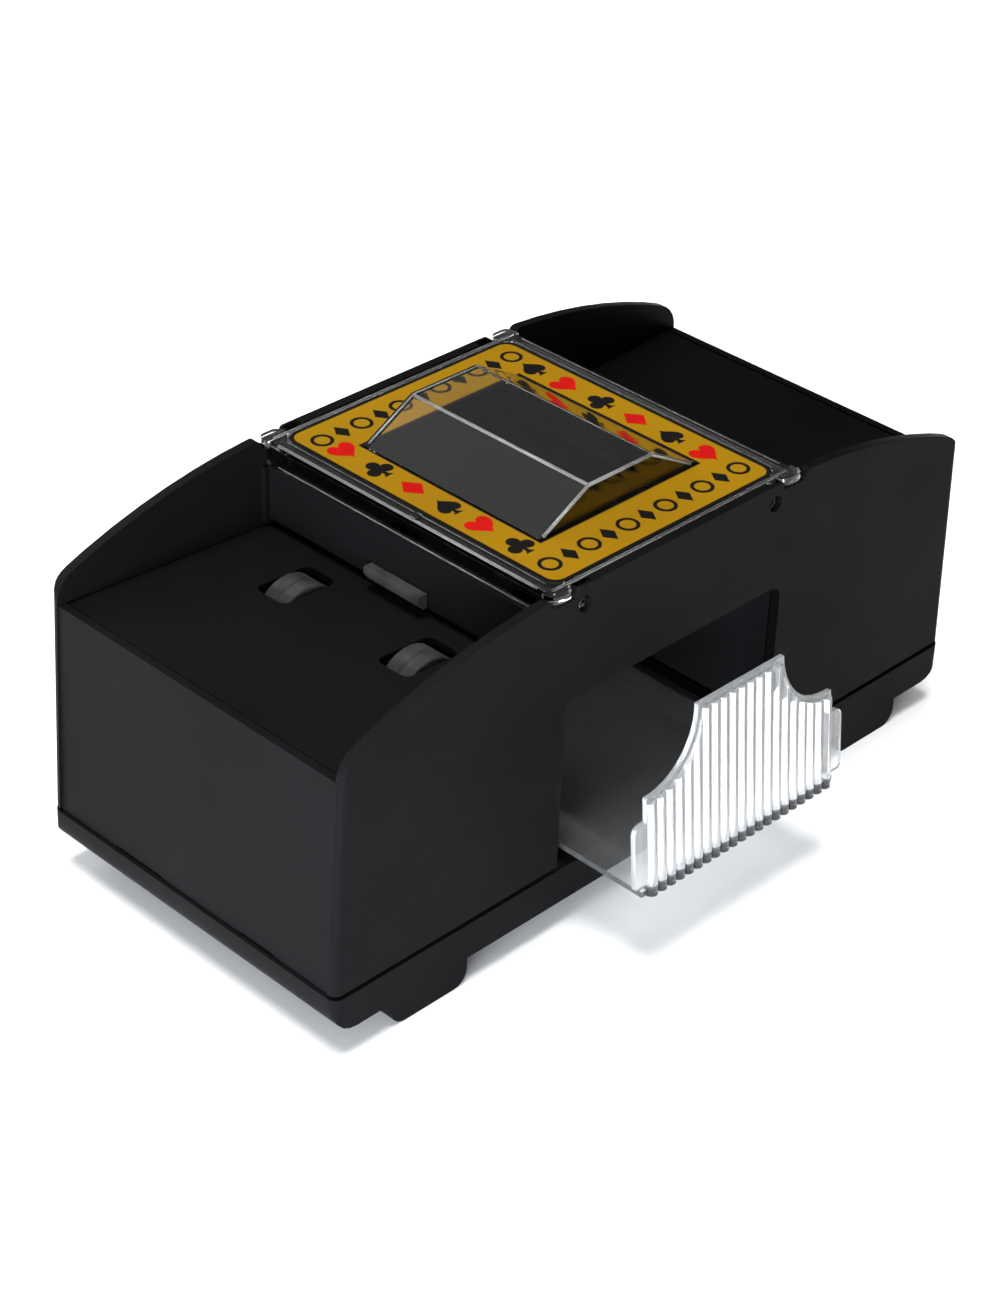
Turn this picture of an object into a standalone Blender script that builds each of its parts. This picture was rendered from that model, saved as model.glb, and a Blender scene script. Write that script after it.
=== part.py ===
"""Two-deck automatic card shuffler, built as separate sub-parts.

The long side of the housing runs along X and the output tray slides out towards -Y.
Lengths are written in millimetres about the middle of the housing, with the table at
z = 0. The root empty moves everything along Y, so that the world origin is under the
middle of the whole object.
"""
import math

import bmesh
import bpy
from mathutils import Matrix, Vector
from mathutils.geometry import tessellate_polygon

MM = 0.001

# Fits that several pieces share
GAP = 0.3
SCREW_HOLE_RADIUS = 1.6
SCREW_SHANK_RADIUS = 1.25

# Housing
HALF_LENGTH = 104.5
HALF_WIDTH = 48.0
WALL = 2.5
INNER_Y = HALF_WIDTH - WALL
END_FACE_X = 104.2
END_INNER_X = 102.0
END_LEAN = math.tan(math.radians(2.6))
SEAM_LOW_Z = 16.4
SEAM_HIGH_Z = 16.7
LONG_SEAM_Z = 17.3
END_TOP_Z = 71.4
ARCH_RADIUS = 170.0
ARCH_CENTRE = (33.5, -78.7)
ARCH_INNER_X = 44.0
SHOULDER_X = 41.8
SHOULDER_RADIUS = 1.6
NOTCH_X = 34.1
NOTCH_Z = 88.7
RAIL_Z = 91.0
MOUTH_HALF_X = 36.2
MOUTH_TOP_Z = 62.5
POST_SIZE = 9.0

# Base
SKIRT_Z = 7.0
FLOOR_LOW_Z = 9.3
FLOOR_TOP_Z = 11.3
BASE_HALF_X = 104.5
BASE_HALF_Y = 48.3
FOOT_INNER_X = 64.5
FOOT_OUTER_X = 87.5
FOOT_INNER_Y = 34.0
CASE_SCREW = (95.8, 41.2)
TAB_SCREW = (44.0, 40.0)

# Battery bay, under the left platform
CELL_RADIUS = 7.2
CELL_HALF = 25.2
CELL_PITCH = 14.6
CELL_COUNT = 4
CELL_FIRST_X = -90.9
CELL_Z = 16.9
CELL_SHIFT = 1.8
BAY = (-98.4, -39.6, 30.0, 24.6)
BAY_WALL = 1.2
HATCH = (-98.7, -38.8, 31.8, 7.8, 9.0)
PLATE_Y = 29.3
PLATE_THICKNESS = 0.3

# Card platforms and gates
RAMP_INNER_X = 39.2
RAMP_OUTER_X = 99.0
RAMP_LOW_Z = 68.1
RAMP_SLOPE = math.tan(math.radians(3.0))
RAMP_THICKNESS = 2.0
GATE_X = (39.0, 40.6)
GATE_Z = (70.4, 84.2)

# Drive of one side
DRIVE_X = 54.0
ROLLER_RADIUS = 9.0
ROLLER_WIDTH = 8.0
ROLLER_Y = 20.0
ROLLER_Z = 60.9
SHAFT_RADIUS = 1.5
MODULE = 0.6
PRESSURE = math.radians(25.0)
BACKLASH = 0.16
CENTRE_SLACK = 0.05
ROLLER_TEETH = 16
IDLER_SMALL_TEETH = 12
IDLER_LARGE_TEETH = 34
PINION_TEETH = 10
SMALL_PLANE = (35.5, 39.2)
LARGE_PLANE = (39.9, 42.5)
CHASSIS_X = (36.7, 38.1)
CHASSIS_FOOT = 1.6
BEARING_FRONT_Y = (-41.6, -40.1)
BEARING_REAR_Y = (33.2, 34.7)
MOTOR_Y = (8.0, 32.8)

# Cover
COVER_HALF_X = 40.3
COVER_HALF_Y = 45.1
COVER_Z = (88.9, 90.8)
DOME_HALF_X = 25.5
DOME_HALF_Y = 28.4
DOME_TOP_HALF_X = 10.5
DOME_TOP_Z = 99.0
DOME_SKIN = 1.2
RECESS = 0.6
LEG_X = 31.5
PIN_Z = 86.0
PIN_RADIUS = 1.7
PIN_HOLE_RADIUS = 2.1
RIM_STOP = (-38.9, -2.9, 1.5)
LABEL_HALF_X = 36.7
LABEL_HALF_Y = 43.7

# Output tray, drawn where it rests, pulled partly out
TRAY_HALF_X = 33.0
TRAY_FLOOR_Z = (20.0, 21.5)
TRAY_FRONT_Y = -71.5
TRAY_BACK_Y = 19.8
TRAY_TOP_Z = 62.0
TRAY_LEAN = math.radians(5.3)
RIB_COUNT = 21
RIB_PITCH = 3.0
RIB_RADIUS = 1.15
TRAY_SKIN = 1.3
TRAY_RIM = 1.3
FINGER_RADIUS = 16.5

# Push button on the rear wall
BUTTON_X = 79.0
BUTTON_Z = 47.0
BUTTON_RADIUS = 6.0
BUTTON_TIP_Y = 51.0
HOUSING_BACK_Y = 33.6

RIB_TIP_Y = TRAY_FRONT_Y - RIB_RADIUS * math.cos(TRAY_LEAN)
ROOT_SHIFT_Y = -(RIB_TIP_Y + BUTTON_TIP_Y) / 2

BLACK_ABS = ("black_abs", (0.028, 0.029, 0.032, 1.0), 0.42, 0.0)
DARK_PLASTIC = ("dark_plastic", (0.045, 0.046, 0.05, 1.0), 0.5, 0.0)
CLEAR = ("clear_plastic", (0.86, 0.88, 0.9, 1.0), 0.08, 0.0)
GOLD_FOIL = ("gold_foil", (0.62, 0.42, 0.05, 1.0), 0.35, 0.3)
STEEL = ("steel", (0.62, 0.63, 0.65, 1.0), 0.28, 1.0)
RUBBER = ("rubber", (0.03, 0.03, 0.03, 1.0), 0.85, 0.0)
WHITE_ACETAL = ("white_acetal", (0.85, 0.84, 0.8, 1.0), 0.4, 0.0)
BRASS = ("brass", (0.72, 0.55, 0.25, 1.0), 0.3, 1.0)
CELL_SLEEVE = ("cell_sleeve", (0.12, 0.13, 0.15, 1.0), 0.35, 0.4)
RED_PLASTIC = ("red_plastic", (0.5, 0.03, 0.03, 1.0), 0.35, 0.0)


# ---------------------------------------------------------------- outlines

def arc(centre, radius, start_deg, end_deg, steps):
    """Points along a circle, both ends included."""
    points = []
    for i in range(steps + 1):
        angle = math.radians(start_deg + (end_deg - start_deg) * i / steps)
        points.append((centre[0] + radius * math.cos(angle), centre[1] + radius * math.sin(angle)))
    return points


def circle(centre, radius, steps=16):
    return arc(centre, radius, 0, 360, steps)[:-1]


def filleted(corners, steps=5):
    """An outline from (u, v, radius) corners, each rounded by its radius."""
    outline = []
    count = len(corners)
    for i, (u, v, radius) in enumerate(corners):
        here = Vector((u, v))
        if radius <= 0:
            outline.append((u, v))
            continue
        before = (Vector(corners[i - 1][:2]) - here).normalized()
        after = (Vector(corners[(i + 1) % count][:2]) - here).normalized()
        half = before.angle(after) / 2
        reach = radius / math.tan(half)
        centre = here + (before + after).normalized() * (radius / math.sin(half))
        start = here + before * reach - centre
        end = here + after * reach - centre
        turn = start.angle_signed(end)
        for k in range(steps + 1):
            spoke = start.copy()
            spoke.rotate(Matrix.Rotation(-turn * k / steps, 2))
            outline.append(tuple(centre + spoke))
    return outline


def box_outline(u_low, u_high, v_low, v_high, radius=0.0, steps=5):
    corners = [(u_low, v_low, radius), (u_high, v_low, radius),
               (u_high, v_high, radius), (u_low, v_high, radius)]
    return filleted(corners, steps)


def mirrored(half):
    """A closed outline from its right half, listed from the bottom up."""
    return half + [(-u, v) for u, v in reversed(half)]


def gear_outline(teeth, centre, phase, flank_points=3):
    """Involute teeth with stub tips and thinned flanks, one tooth at the angle phase."""
    pitch = MODULE * teeth / 2
    base = pitch * math.cos(PRESSURE)
    root = pitch - 1.1 * MODULE
    tip = pitch + 0.8 * MODULE
    half_at_pitch = math.pi / (2 * teeth) - BACKLASH / (2 * pitch)
    involute = math.tan(PRESSURE) - PRESSURE

    def half_angle(radius):
        flank = math.acos(min(1.0, base / radius))
        return half_at_pitch + involute - (math.tan(flank) - flank)

    first = max(base, root)
    radii = [first + (tip - first) * i / (flank_points - 1) for i in range(flank_points)]
    if root < first:
        radii.insert(0, root)
    outline = []
    for i in range(teeth):
        middle = phase + 2 * math.pi * i / teeth
        rising = [(r, middle - half_angle(max(r, base))) for r in radii]
        falling = [(r, middle + half_angle(max(r, base))) for r in reversed(radii)]
        for r, angle in rising + falling:
            outline.append((centre[0] + r * math.cos(angle), centre[1] + r * math.sin(angle)))
    return outline


def meshing_phase(teeth, phase, direction, other_teeth):
    """Phase that puts a space of the other gear at a tooth of this one."""
    turn = 2 * math.pi
    share = ((direction - phase) * teeth / turn) % 1.0
    return direction + math.pi - (0.5 - share) * turn / other_teeth


# ---------------------------------------------------------------- solids

def place(point, axis):
    """A point (u, v, w) of an outline drawn across an axis, as x, y, z in metres."""
    u, v, w = point
    order = {"X": (w, u, v), "Y": (u, w, v), "Z": (u, v, w)}
    return Vector(order[axis]) * MM


def prism(loops, low, high, axis):
    """A closed prism. The first loop is the outline and the others are holes."""
    bm = bmesh.new()
    ends = []
    for w in (low, high):
        ends.append([[bm.verts.new(place((u, v, w), axis)) for u, v in loop] for loop in loops])
    flat = [[Vector((u, v, 0.0)) for u, v in loop] for loop in loops]
    for end in ends:
        if len(loops) == 1:
            bm.faces.new(end[0])
            continue
        verts = [vert for loop in end for vert in loop]
        for triangle in tessellate_polygon(flat):
            bm.faces.new([verts[i] for i in triangle])
    for low_loop, high_loop in zip(*ends):
        for i in range(len(low_loop)):
            bm.faces.new((low_loop[i - 1], low_loop[i], high_loop[i], high_loop[i - 1]))
    bmesh.ops.recalc_face_normals(bm, faces=bm.faces)
    return bm


def block(x, y, z):
    """A box from three (low, high) pairs."""
    return prism([box_outline(x[0], x[1], y[0], y[1])], z[0], z[1], "Z")


def lathe(profile, centre, axis="Y", steps=32, closed=False):
    """A turned solid from (radius, position) points about an axis through centre."""
    bm = bmesh.new()
    u, v = centre
    verts = [bm.verts.new(place((u + radius, v, w), axis)) for radius, w in profile]
    edges = [bm.edges.new(pair) for pair in zip(verts, verts[1:])]
    if closed:
        edges.append(bm.edges.new((verts[-1], verts[0])))
    bmesh.ops.spin(bm, geom=verts + edges, cent=place((u, v, 0), axis),
                   axis=place((0, 0, 1), axis).normalized(), angle=math.tau, steps=steps,
                   use_merge=True)
    bmesh.ops.remove_doubles(bm, verts=bm.verts, dist=1e-6)
    bmesh.ops.recalc_face_normals(bm, faces=bm.faces)
    return bm


def cylinder(radius, low, high, centre, axis="Y", steps=16):
    return prism([circle(centre, radius, steps)], low, high, axis)


def material(look):
    name, colour, roughness, metallic = look
    made = bpy.data.materials.get(name)
    if made:
        return made
    made = bpy.data.materials.new(name)
    made.use_nodes = True
    shader = made.node_tree.nodes["Principled BSDF"]
    shader.inputs["Base Color"].default_value = colour
    shader.inputs["Roughness"].default_value = roughness
    shader.inputs["Metallic"].default_value = metallic
    made.diffuse_color = colour
    return made


def link(name, data):
    made = bpy.data.objects.new(name, data)
    bpy.context.scene.collection.objects.link(made)
    return made


def combine(target, bm, operation):
    """Join bm to target, or cut it away, and keep the result as target's own mesh."""
    mesh = bpy.data.meshes.new("tool")
    bm.to_mesh(mesh)
    bm.free()
    tool = link("tool", mesh)
    tool.parent = target.parent
    tool.location = target.location
    step = target.modifiers.new(operation.lower(), "BOOLEAN")
    step.object = tool
    step.operation = operation
    step.solver = "EXACT"
    evaluated = target.evaluated_get(bpy.context.evaluated_depsgraph_get())
    result = bpy.data.meshes.new_from_object(evaluated)
    target.modifiers.clear()
    target.data = result
    bpy.data.objects.remove(tool)


def set_material(target, look):
    """One material all over, whatever the joined solids left behind."""
    target.data.materials.clear()
    target.data.materials.append(material(look))
    for face in target.data.polygons:
        face.material_index = 0


def part(name, bm, look, parent, joined=(), cut=(), smooth=False):
    """A named sub-part: bm, plus the joined solids, minus the cut ones."""
    mesh = bpy.data.meshes.new(name)
    bm.to_mesh(mesh)
    bm.free()
    made = link(name, mesh)
    for solid in joined:
        combine(made, solid, "UNION")
    for solid in cut:
        combine(made, solid, "DIFFERENCE")
    set_material(made, look)
    if smooth:
        made.data.shade_smooth()
        made.data.set_sharp_from_angle(angle=math.radians(32))
    settle(made, parent)
    return made


def settle(made, parent):
    """Parent a piece, and keep it where it is drawn whatever its parent's own place."""
    made.parent = parent
    if parent is not ROOT:
        made.location = -parent.location


def axis_empty(name, x, y, z):
    """An empty on a joint's axis."""
    made = link(name, None)
    made.parent = ROOT
    made.location = Vector((x, y, z)) * MM
    return made


def soften(target, width):
    """Break the sharp edges a little, as a moulded part has them."""
    bevel = target.modifiers.new("soft_edges", "BEVEL")
    bevel.width = width * MM
    bevel.segments = 1
    bevel.limit_method = "ANGLE"
    bevel.angle_limit = math.radians(40)


def helix(name, centre, axis, radius, wire, low, high, turns, look, parent):
    """A coil spring as a round wire along a helix, with filled ends."""
    curve = bpy.data.curves.new(name, "CURVE")
    curve.dimensions = "3D"
    curve.bevel_depth = wire * MM
    curve.bevel_resolution = 0
    curve.use_fill_caps = True
    count = int(turns * 10)
    spline = curve.splines.new("POLY")
    spline.points.add(count)
    for i in range(count + 1):
        angle = math.tau * turns * i / count
        u = centre[0] + radius * math.cos(angle)
        v = centre[1] + radius * math.sin(angle)
        w = low + (high - low) * i / count
        spline.points[i].co = (*place((u, v, w), axis), 1.0)
    curve.materials.append(material(look))
    settle(link(name, curve), parent)


# ---------------------------------------------------------------- housing

def arch_z(x):
    return ARCH_CENTRE[1] + math.sqrt(ARCH_RADIUS ** 2 - (x - ARCH_CENTRE[0]) ** 2)


def lean_in(bm):
    """Tilt the ends of a solid towards the middle, as the housing's own ends are."""
    for vert in bm.verts:
        rise = vert.co.z - SEAM_HIGH_Z * MM
        vert.co.x -= math.copysign(END_LEAN * rise, vert.co.x)
    return bm


def side_profile():
    """The outline of the long walls: an arch with a notched saddle for the cover."""
    low_x = HALF_LENGTH + 0.02
    corner_x = low_x
    for _ in range(8):
        corner_x = low_x - END_LEAN * (arch_z(corner_x) - SEAM_HIGH_Z)
    crown = [(x, arch_z(x), 0) for x in (92, 84, 76, 68, 60, 52, ARCH_INNER_X + 1.5)]
    corners = [(low_x, SEAM_HIGH_Z, 0), (corner_x, arch_z(corner_x), 8.0)]
    corners += crown
    corners += [(SHOULDER_X, arch_z(SHOULDER_X), SHOULDER_RADIUS), (SHOULDER_X, NOTCH_Z, 0.6),
                (NOTCH_X, NOTCH_Z, 0.6), (NOTCH_X, RAIL_Z, 1.0)]
    both = corners + [(-x, z, radius) for x, z, radius in reversed(corners)]
    return filleted(both)


def gate_channel(side, end):
    """Two small ribs on a wall that hold one end of a gate."""
    ribs = []
    for low in (GATE_X[0] - 1.2, GATE_X[1] + 0.3):
        x = sorted((side * low, side * (low + 0.9)))
        y = sorted((end * (INNER_Y - 1.4), end * (INNER_Y + 0.6)))
        ribs.append(block(x, y, (GATE_Z[0] - 0.6, GATE_Z[1] - 0.2)))
    return ribs


def corner_post(side, end):
    inner_x = END_INNER_X - POST_SIZE
    x = sorted((side * inner_x, side * (END_INNER_X + 0.5)))
    y = sorted((end * (INNER_Y - POST_SIZE), end * (INNER_Y + 0.5)))
    return block(x, y, (FLOOR_TOP_Z + 5.6, 44.0))


def build_body_shell():
    plan = box_outline(-HALF_LENGTH, HALF_LENGTH, -HALF_WIDTH, HALF_WIDTH, 2.3, 4)
    outer = lean_in(prism([plan], SEAM_HIGH_Z - 1, 97, "Z"))
    shell = part("body_shell", outer, BLACK_ABS, ROOT)
    combine(shell, prism([side_profile()], -50, 50, "Y"), "INTERSECT")
    inside = block((-END_INNER_X, END_INNER_X), (-INNER_Y, INNER_Y), (10, 99))
    combine(shell, lean_in(inside), "DIFFERENCE")
    combine(shell, block((-120, 120), (-INNER_Y, INNER_Y), (END_TOP_Z, 99)), "DIFFERENCE")
    mouth = filleted([(-MOUTH_HALF_X, 10, 0), (MOUTH_HALF_X, 10, 0),
                      (MOUTH_HALF_X, MOUTH_TOP_Z, 3.5), (-MOUTH_HALF_X, MOUTH_TOP_Z, 3.5)])
    combine(shell, prism([mouth], -50, -44, "Y"), "DIFFERENCE")
    for side in (-1, 1):
        outside = sorted((side * END_FACE_X, side * 110))
        combine(shell, lean_in(block(outside, (-INNER_Y, INNER_Y), (10, 99))), "DIFFERENCE")
    for end in (-1, 1):
        y = sorted((end * INNER_Y, end * 50))
        combine(shell, block((-120, 120), y, (10, LONG_SEAM_Z)), "DIFFERENCE")
    soften(shell, 0.4)
    for side in (-1, 1):
        for end in (-1, 1):
            combine(shell, corner_post(side, end), "UNION")
            for rib in gate_channel(side, end):
                combine(shell, rib, "UNION")
    for cutter in shell_openings():
        combine(shell, cutter, "DIFFERENCE")
    set_material(shell, BLACK_ABS)


def shell_openings():
    """Pin holes with lead-in grooves, screw pilots, the button's hole and two end slots."""
    cutters = []
    for side in (-1, 1):
        x = side * LEG_X
        cutters.append(cylinder(PIN_HOLE_RADIUS, -50, 50, (x, PIN_Z)))
        for end in (-1, 1):
            y = sorted((end * (INNER_Y - 1), end * (INNER_Y + 1.7)))
            groove_x = (x - PIN_HOLE_RADIUS - 0.1, x + PIN_HOLE_RADIUS + 0.1)
            cutters.append(block(groove_x, y, (PIN_Z, 99)))
            post = (side * CASE_SCREW[0], end * CASE_SCREW[1])
            cutters.append(cylinder(SCREW_HOLE_RADIUS, 10, 30, post, "Z"))
    cutters.append(cylinder(BUTTON_RADIUS + 0.4, 44, 50, (BUTTON_X, BUTTON_Z), "Y", 32))
    for y in ((10.0, 26.0), (-27.6, -17.0)):
        cutters.append(block((-110, -100), y, (SEAM_HIGH_Z - 1, SEAM_HIGH_Z + 0.5)))
    return cutters


# ---------------------------------------------------------------- base

def tray_guide(side):
    """A C-shaped guide that carries one edge of the output tray."""
    corners = [(35.4, 10.0), (35.4, 23.6), (31.9, 23.6), (31.9, 21.9), (33.5, 21.9),
               (33.5, 19.6), (29.0, 19.6), (29.0, 17.6), (33.5, 17.6), (33.5, 10.0)]
    return prism([[(side * x, z) for x, z in corners]], -43.0, 44.0, "Y")


def hatch_guide(side):
    """An L-shaped guide under the floor that carries one edge of the battery hatch."""
    corners = [(30.8, 7.0), (33.4, 7.0), (33.4, 9.6), (32.1, 9.6), (32.1, 7.5), (30.8, 7.5)]
    return prism([[(side * y, z) for y, z in corners]], -98.5, 20.0, "X")


def build_base_shell():
    body = filleted([(-BASE_HALF_X, SKIRT_Z, 6.4), (BASE_HALF_X, SKIRT_Z, 6.4),
                     (BASE_HALF_X, SEAM_LOW_Z, 0), (-BASE_HALF_X, SEAM_LOW_Z, 0)])
    base = part("base_shell", prism([body], -BASE_HALF_Y, BASE_HALF_Y, "Y"), BLACK_ABS, ROOT)
    plan = box_outline(-BASE_HALF_X, BASE_HALF_X, -BASE_HALF_Y, BASE_HALF_Y, 2.5, 4)
    combine(base, prism([plan], 0, 40, "Z"), "INTERSECT")
    combine(base, block((-101.5, 101.5), (-45.3, 45.3), (FLOOR_TOP_Z, 30)), "DIFFERENCE")
    combine(base, block((-99.0, 99.0), (-44.8, 44.8), (0, FLOOR_LOW_Z)), "DIFFERENCE")
    foot = filleted([(FOOT_INNER_X, 0, 4.0), (FOOT_OUTER_X, 0, 4.0),
                     (FOOT_OUTER_X, 10, 0), (FOOT_INNER_X, 10, 0)])
    for side in (-1, 1):
        for end in (-1, 1):
            y = sorted((end * FOOT_INNER_Y, end * (BASE_HALF_Y - 0.1)))
            outline = [(side * x, z) for x, z in foot]
            combine(base, prism([outline], y[0], y[1], "Y"), "UNION")
        combine(base, tray_guide(side), "UNION")
    low_x, high_x, half_y, top_z = BAY
    outer = block((low_x - BAY_WALL, high_x + BAY_WALL), (-half_y - BAY_WALL, half_y + BAY_WALL),
                  (10, top_z + 1.4))
    combine(base, outer, "UNION")
    combine(base, block((low_x, high_x), (-half_y, half_y), (5, top_z)), "DIFFERENCE")
    for side in (-1, 1):
        combine(base, hatch_guide(side), "UNION")
        for end in (-1, 1):
            for x, y in (CASE_SCREW, TAB_SCREW):
                hole = cylinder(SCREW_HOLE_RADIUS, 5, 20, (side * x, end * y), "Z")
                combine(base, hole, "DIFFERENCE")
    set_material(base, BLACK_ABS)


def build_case_screws():
    """Four screws from below the floor into the housing's corner posts."""
    for i, (side, end) in enumerate(((-1, -1), (1, -1), (-1, 1), (1, 1)), start=1):
        head_z = FLOOR_LOW_Z - GAP
        profile = [(0, head_z - 1.0), (0.9, head_z - 1.6), (2.2, head_z - 1.6), (2.9, head_z - 1.0),
                   (2.9, head_z), (SCREW_SHANK_RADIUS, head_z), (SCREW_SHANK_RADIUS, 26.0), (0, 27.5)]
        centre = (side * CASE_SCREW[0], end * CASE_SCREW[1])
        part(f"case_screw_{i}", lathe(profile, centre, "Z", 10), STEEL, ROOT, smooth=True)


def build_tab_screws():
    """Screws that hold each chassis foot on the floor."""
    head_z = FLOOR_TOP_Z + GAP + CHASSIS_FOOT + GAP
    for i, (side, end) in enumerate(((-1, -1), (1, -1), (-1, 1), (1, 1)), start=1):
        profile = [(0, head_z + 0.9), (0.9, head_z + 1.6), (2.1, head_z + 1.6), (2.7, head_z + 1.0),
                   (2.7, head_z), (SCREW_SHANK_RADIUS, head_z), (SCREW_SHANK_RADIUS, 9.0), (0, 8.0)]
        centre = (side * TAB_SCREW[0], end * TAB_SCREW[1])
        part(f"chassis_screw_{i}", lathe(profile, centre, "Z", 10), STEEL, ROOT, smooth=True)


# ---------------------------------------------------------------- batteries

def cell_way(index):
    """+1 where a cell's positive end points to +Y. Cells alternate, so they are in series."""
    return 1 if index % 2 == 0 else -1


def cell_x(index):
    return CELL_FIRST_X + CELL_PITCH * index


def build_cells():
    for i in range(CELL_COUNT):
        way = cell_way(i)
        profile = [(0, -CELL_HALF), (5.0, -CELL_HALF), (6.9, -CELL_HALF), (CELL_RADIUS, -CELL_HALF + 0.4),
                   (CELL_RADIUS, CELL_HALF - 1.7), (6.9, CELL_HALF - 1.3), (2.75, CELL_HALF - 1.3),
                   (2.6, CELL_HALF), (0, CELL_HALF)]
        turned = [(radius, way * (y + CELL_SHIFT)) for radius, y in profile]
        bm = lathe(turned, (cell_x(i), CELL_Z), "Y", 18)
        part(f"battery_cell_{i + 1}", bm, CELL_SLEEVE, ROOT, smooth=True)
        spring_y = sorted((-way * (CELL_HALF - CELL_SHIFT + 0.7), -way * (PLATE_Y - 0.7)))
        helix(f"battery_spring_{i + 1}", (cell_x(i), CELL_Z), "Y", 3.4, 0.35,
              spring_y[0], spring_y[1], 2.5, STEEL, ROOT)


def build_contacts():
    """Bridging plates join neighbouring cells; a tab ends the chain at each side."""
    groups = (("contact_front_outer", -1, (0, 1)), ("contact_front_inner", -1, (2, 3)),
              ("contact_rear_outer", 1, (0,)), ("contact_rear_bridge", 1, (1, 2)),
              ("contact_rear_inner", 1, (3,)))
    for name, end, cells in groups:
        x = (cell_x(cells[0]) - 5.2, cell_x(cells[-1]) + 5.2)
        y = sorted((end * PLATE_Y, end * (PLATE_Y + PLATE_THICKNESS)))
        bumps = []
        for i in cells:
            if cell_way(i) == end:
                tip = CELL_HALF + CELL_SHIFT + 0.3
                span = sorted((end * tip, end * (PLATE_Y + 0.1)))
                bumps.append(cylinder(1.6, span[0], span[1], (cell_x(i), CELL_Z), "Y", 16))
        part(name, block(x, y, (10.2, 23.6)), STEEL, ROOT, joined=bumps)


def build_hatch(slider):
    low_x, high_x, half_y, low_z, high_z = HATCH
    ridges = [block((x, x + 1.2), (-10, 10), (low_z - 0.6, low_z + 0.1)) for x in (-94, -91, -88)]
    part("battery_hatch", block((low_x, high_x), (-half_y, half_y), (low_z, high_z)),
         BLACK_ABS, slider, joined=ridges)


# ---------------------------------------------------------------- platforms and gates

def ramp_z(x):
    return RAMP_LOW_Z + (abs(x) - RAMP_INNER_X) * RAMP_SLOPE


def build_ramp(label, side):
    corners = [(RAMP_INNER_X, ramp_z(RAMP_INNER_X)), (RAMP_OUTER_X, ramp_z(RAMP_OUTER_X)),
               (RAMP_OUTER_X, ramp_z(RAMP_OUTER_X) - RAMP_THICKNESS),
               (RAMP_INNER_X, ramp_z(RAMP_INNER_X) - RAMP_THICKNESS)]
    deck = prism([[(side * x, z) for x, z in corners]], -INNER_Y + GAP, INNER_Y - GAP, "Y")
    cuts = []
    for y in (-ROLLER_Y, ROLLER_Y):
        half_y = ROLLER_WIDTH / 2 + 0.9
        x = sorted((side * (DRIVE_X - 8.2), side * (DRIVE_X + 8.2)))
        slot = box_outline(x[0], x[1], y - half_y, y + half_y, 2.0, 3)
        cuts.append(prism([slot], 60, 80, "Z"))
    ribs = []
    for y in (-32.0, 0.0, 30.5):
        x = sorted((side * 68.0, side * 97.0))
        rib = [(x[0], 63.0), (x[1], 63.0), (x[1], ramp_z(x[1]) - 1.0), (x[0], ramp_z(x[0]) - 1.0)]
        ribs.append(prism([rib], y - 0.7, y + 0.7, "Y"))
    part(f"{label}_platform", deck, BLACK_ABS, ROOT, joined=ribs, cut=cuts)


def build_gate(label, side):
    x = sorted((side * GATE_X[0], side * GATE_X[1]))
    half_y = INNER_Y - 0.4
    plate = prism([box_outline(-half_y, half_y, GATE_Z[0], GATE_Z[1])], x[0], x[1], "X")
    part(f"{label}_gate", plate, BLACK_ABS, ROOT)
    pad = [(GATE_X[1] + GAP, 74.4), (GATE_X[1] + GAP, 70.6), (GATE_X[1] + 1.3, 70.6),
           (GATE_X[1] + 2.8, 72.6), (GATE_X[1] + 2.8, 74.4)]
    part(f"{label}_retard_pad", prism([[(side * u, v) for u, v in pad]], -9, 9, "Y"), RUBBER, ROOT)


# ---------------------------------------------------------------- drive

def gear_places():
    """Centre heights of the roller, the idler and the motor, and each gear's phase."""
    roller_phase = math.pi / 2
    idler_z = ROLLER_Z - MODULE * (ROLLER_TEETH + IDLER_SMALL_TEETH) / 2 - CENTRE_SLACK
    motor_z = idler_z - MODULE * (IDLER_LARGE_TEETH + PINION_TEETH) / 2 - CENTRE_SLACK
    down = -math.pi / 2
    small_phase = meshing_phase(ROLLER_TEETH, roller_phase, down, IDLER_SMALL_TEETH)
    pinion_phase = meshing_phase(IDLER_LARGE_TEETH, 0.0, down, PINION_TEETH)
    return idler_z, motor_z, roller_phase, small_phase, pinion_phase


def build_chassis(label, side, idler_z, motor_z):
    """A divider beside the card chute, two bearing plates and two screwed feet."""
    divider_x = sorted((side * CHASSIS_X[0], side * CHASSIS_X[1]))
    low_z = FLOOR_TOP_Z + GAP
    divider = block(divider_x, (-44.8, 44.8), (low_z, RAMP_LOW_Z - 0.4))
    plate = filleted([(CHASSIS_X[1] - 0.2, 30.0, 0), (66.0, 30.0, 3.0), (66.0, 57.0, 4.0),
                      (61.0, 65.6, 3.0), (CHASSIS_X[1] - 0.2, 65.6, 0)], 3)
    outline = [(side * x, z) for x, z in plate]
    joined = [prism([outline], BEARING_FRONT_Y[0], BEARING_FRONT_Y[1], "Y"),
              prism([outline], BEARING_REAR_Y[0], BEARING_REAR_Y[1], "Y")]
    for end in (-1, 1):
        x = sorted((side * (CHASSIS_X[1] - 0.2), side * 49.0))
        y = sorted((end * 36.0, end * 44.0))
        joined.append(block(x, y, (low_z, low_z + CHASSIS_FOOT)))
    x = side * DRIVE_X
    cuts = [cylinder(SHAFT_RADIUS + GAP, -45, 40, (x, ROLLER_Z)),
            cylinder(1.5, 30, 40, (x, idler_z)),
            cylinder(3.4, 30, 40, (x, motor_z))]
    for end in (-1, 1):
        hole_centre = (side * TAB_SCREW[0], end * TAB_SCREW[1])
        cuts.append(cylinder(SCREW_HOLE_RADIUS, 10, 16, hole_centre, "Z"))
    part(f"{label}_chassis", divider, DARK_PLASTIC, ROOT, joined=joined, cut=cuts)


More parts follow.
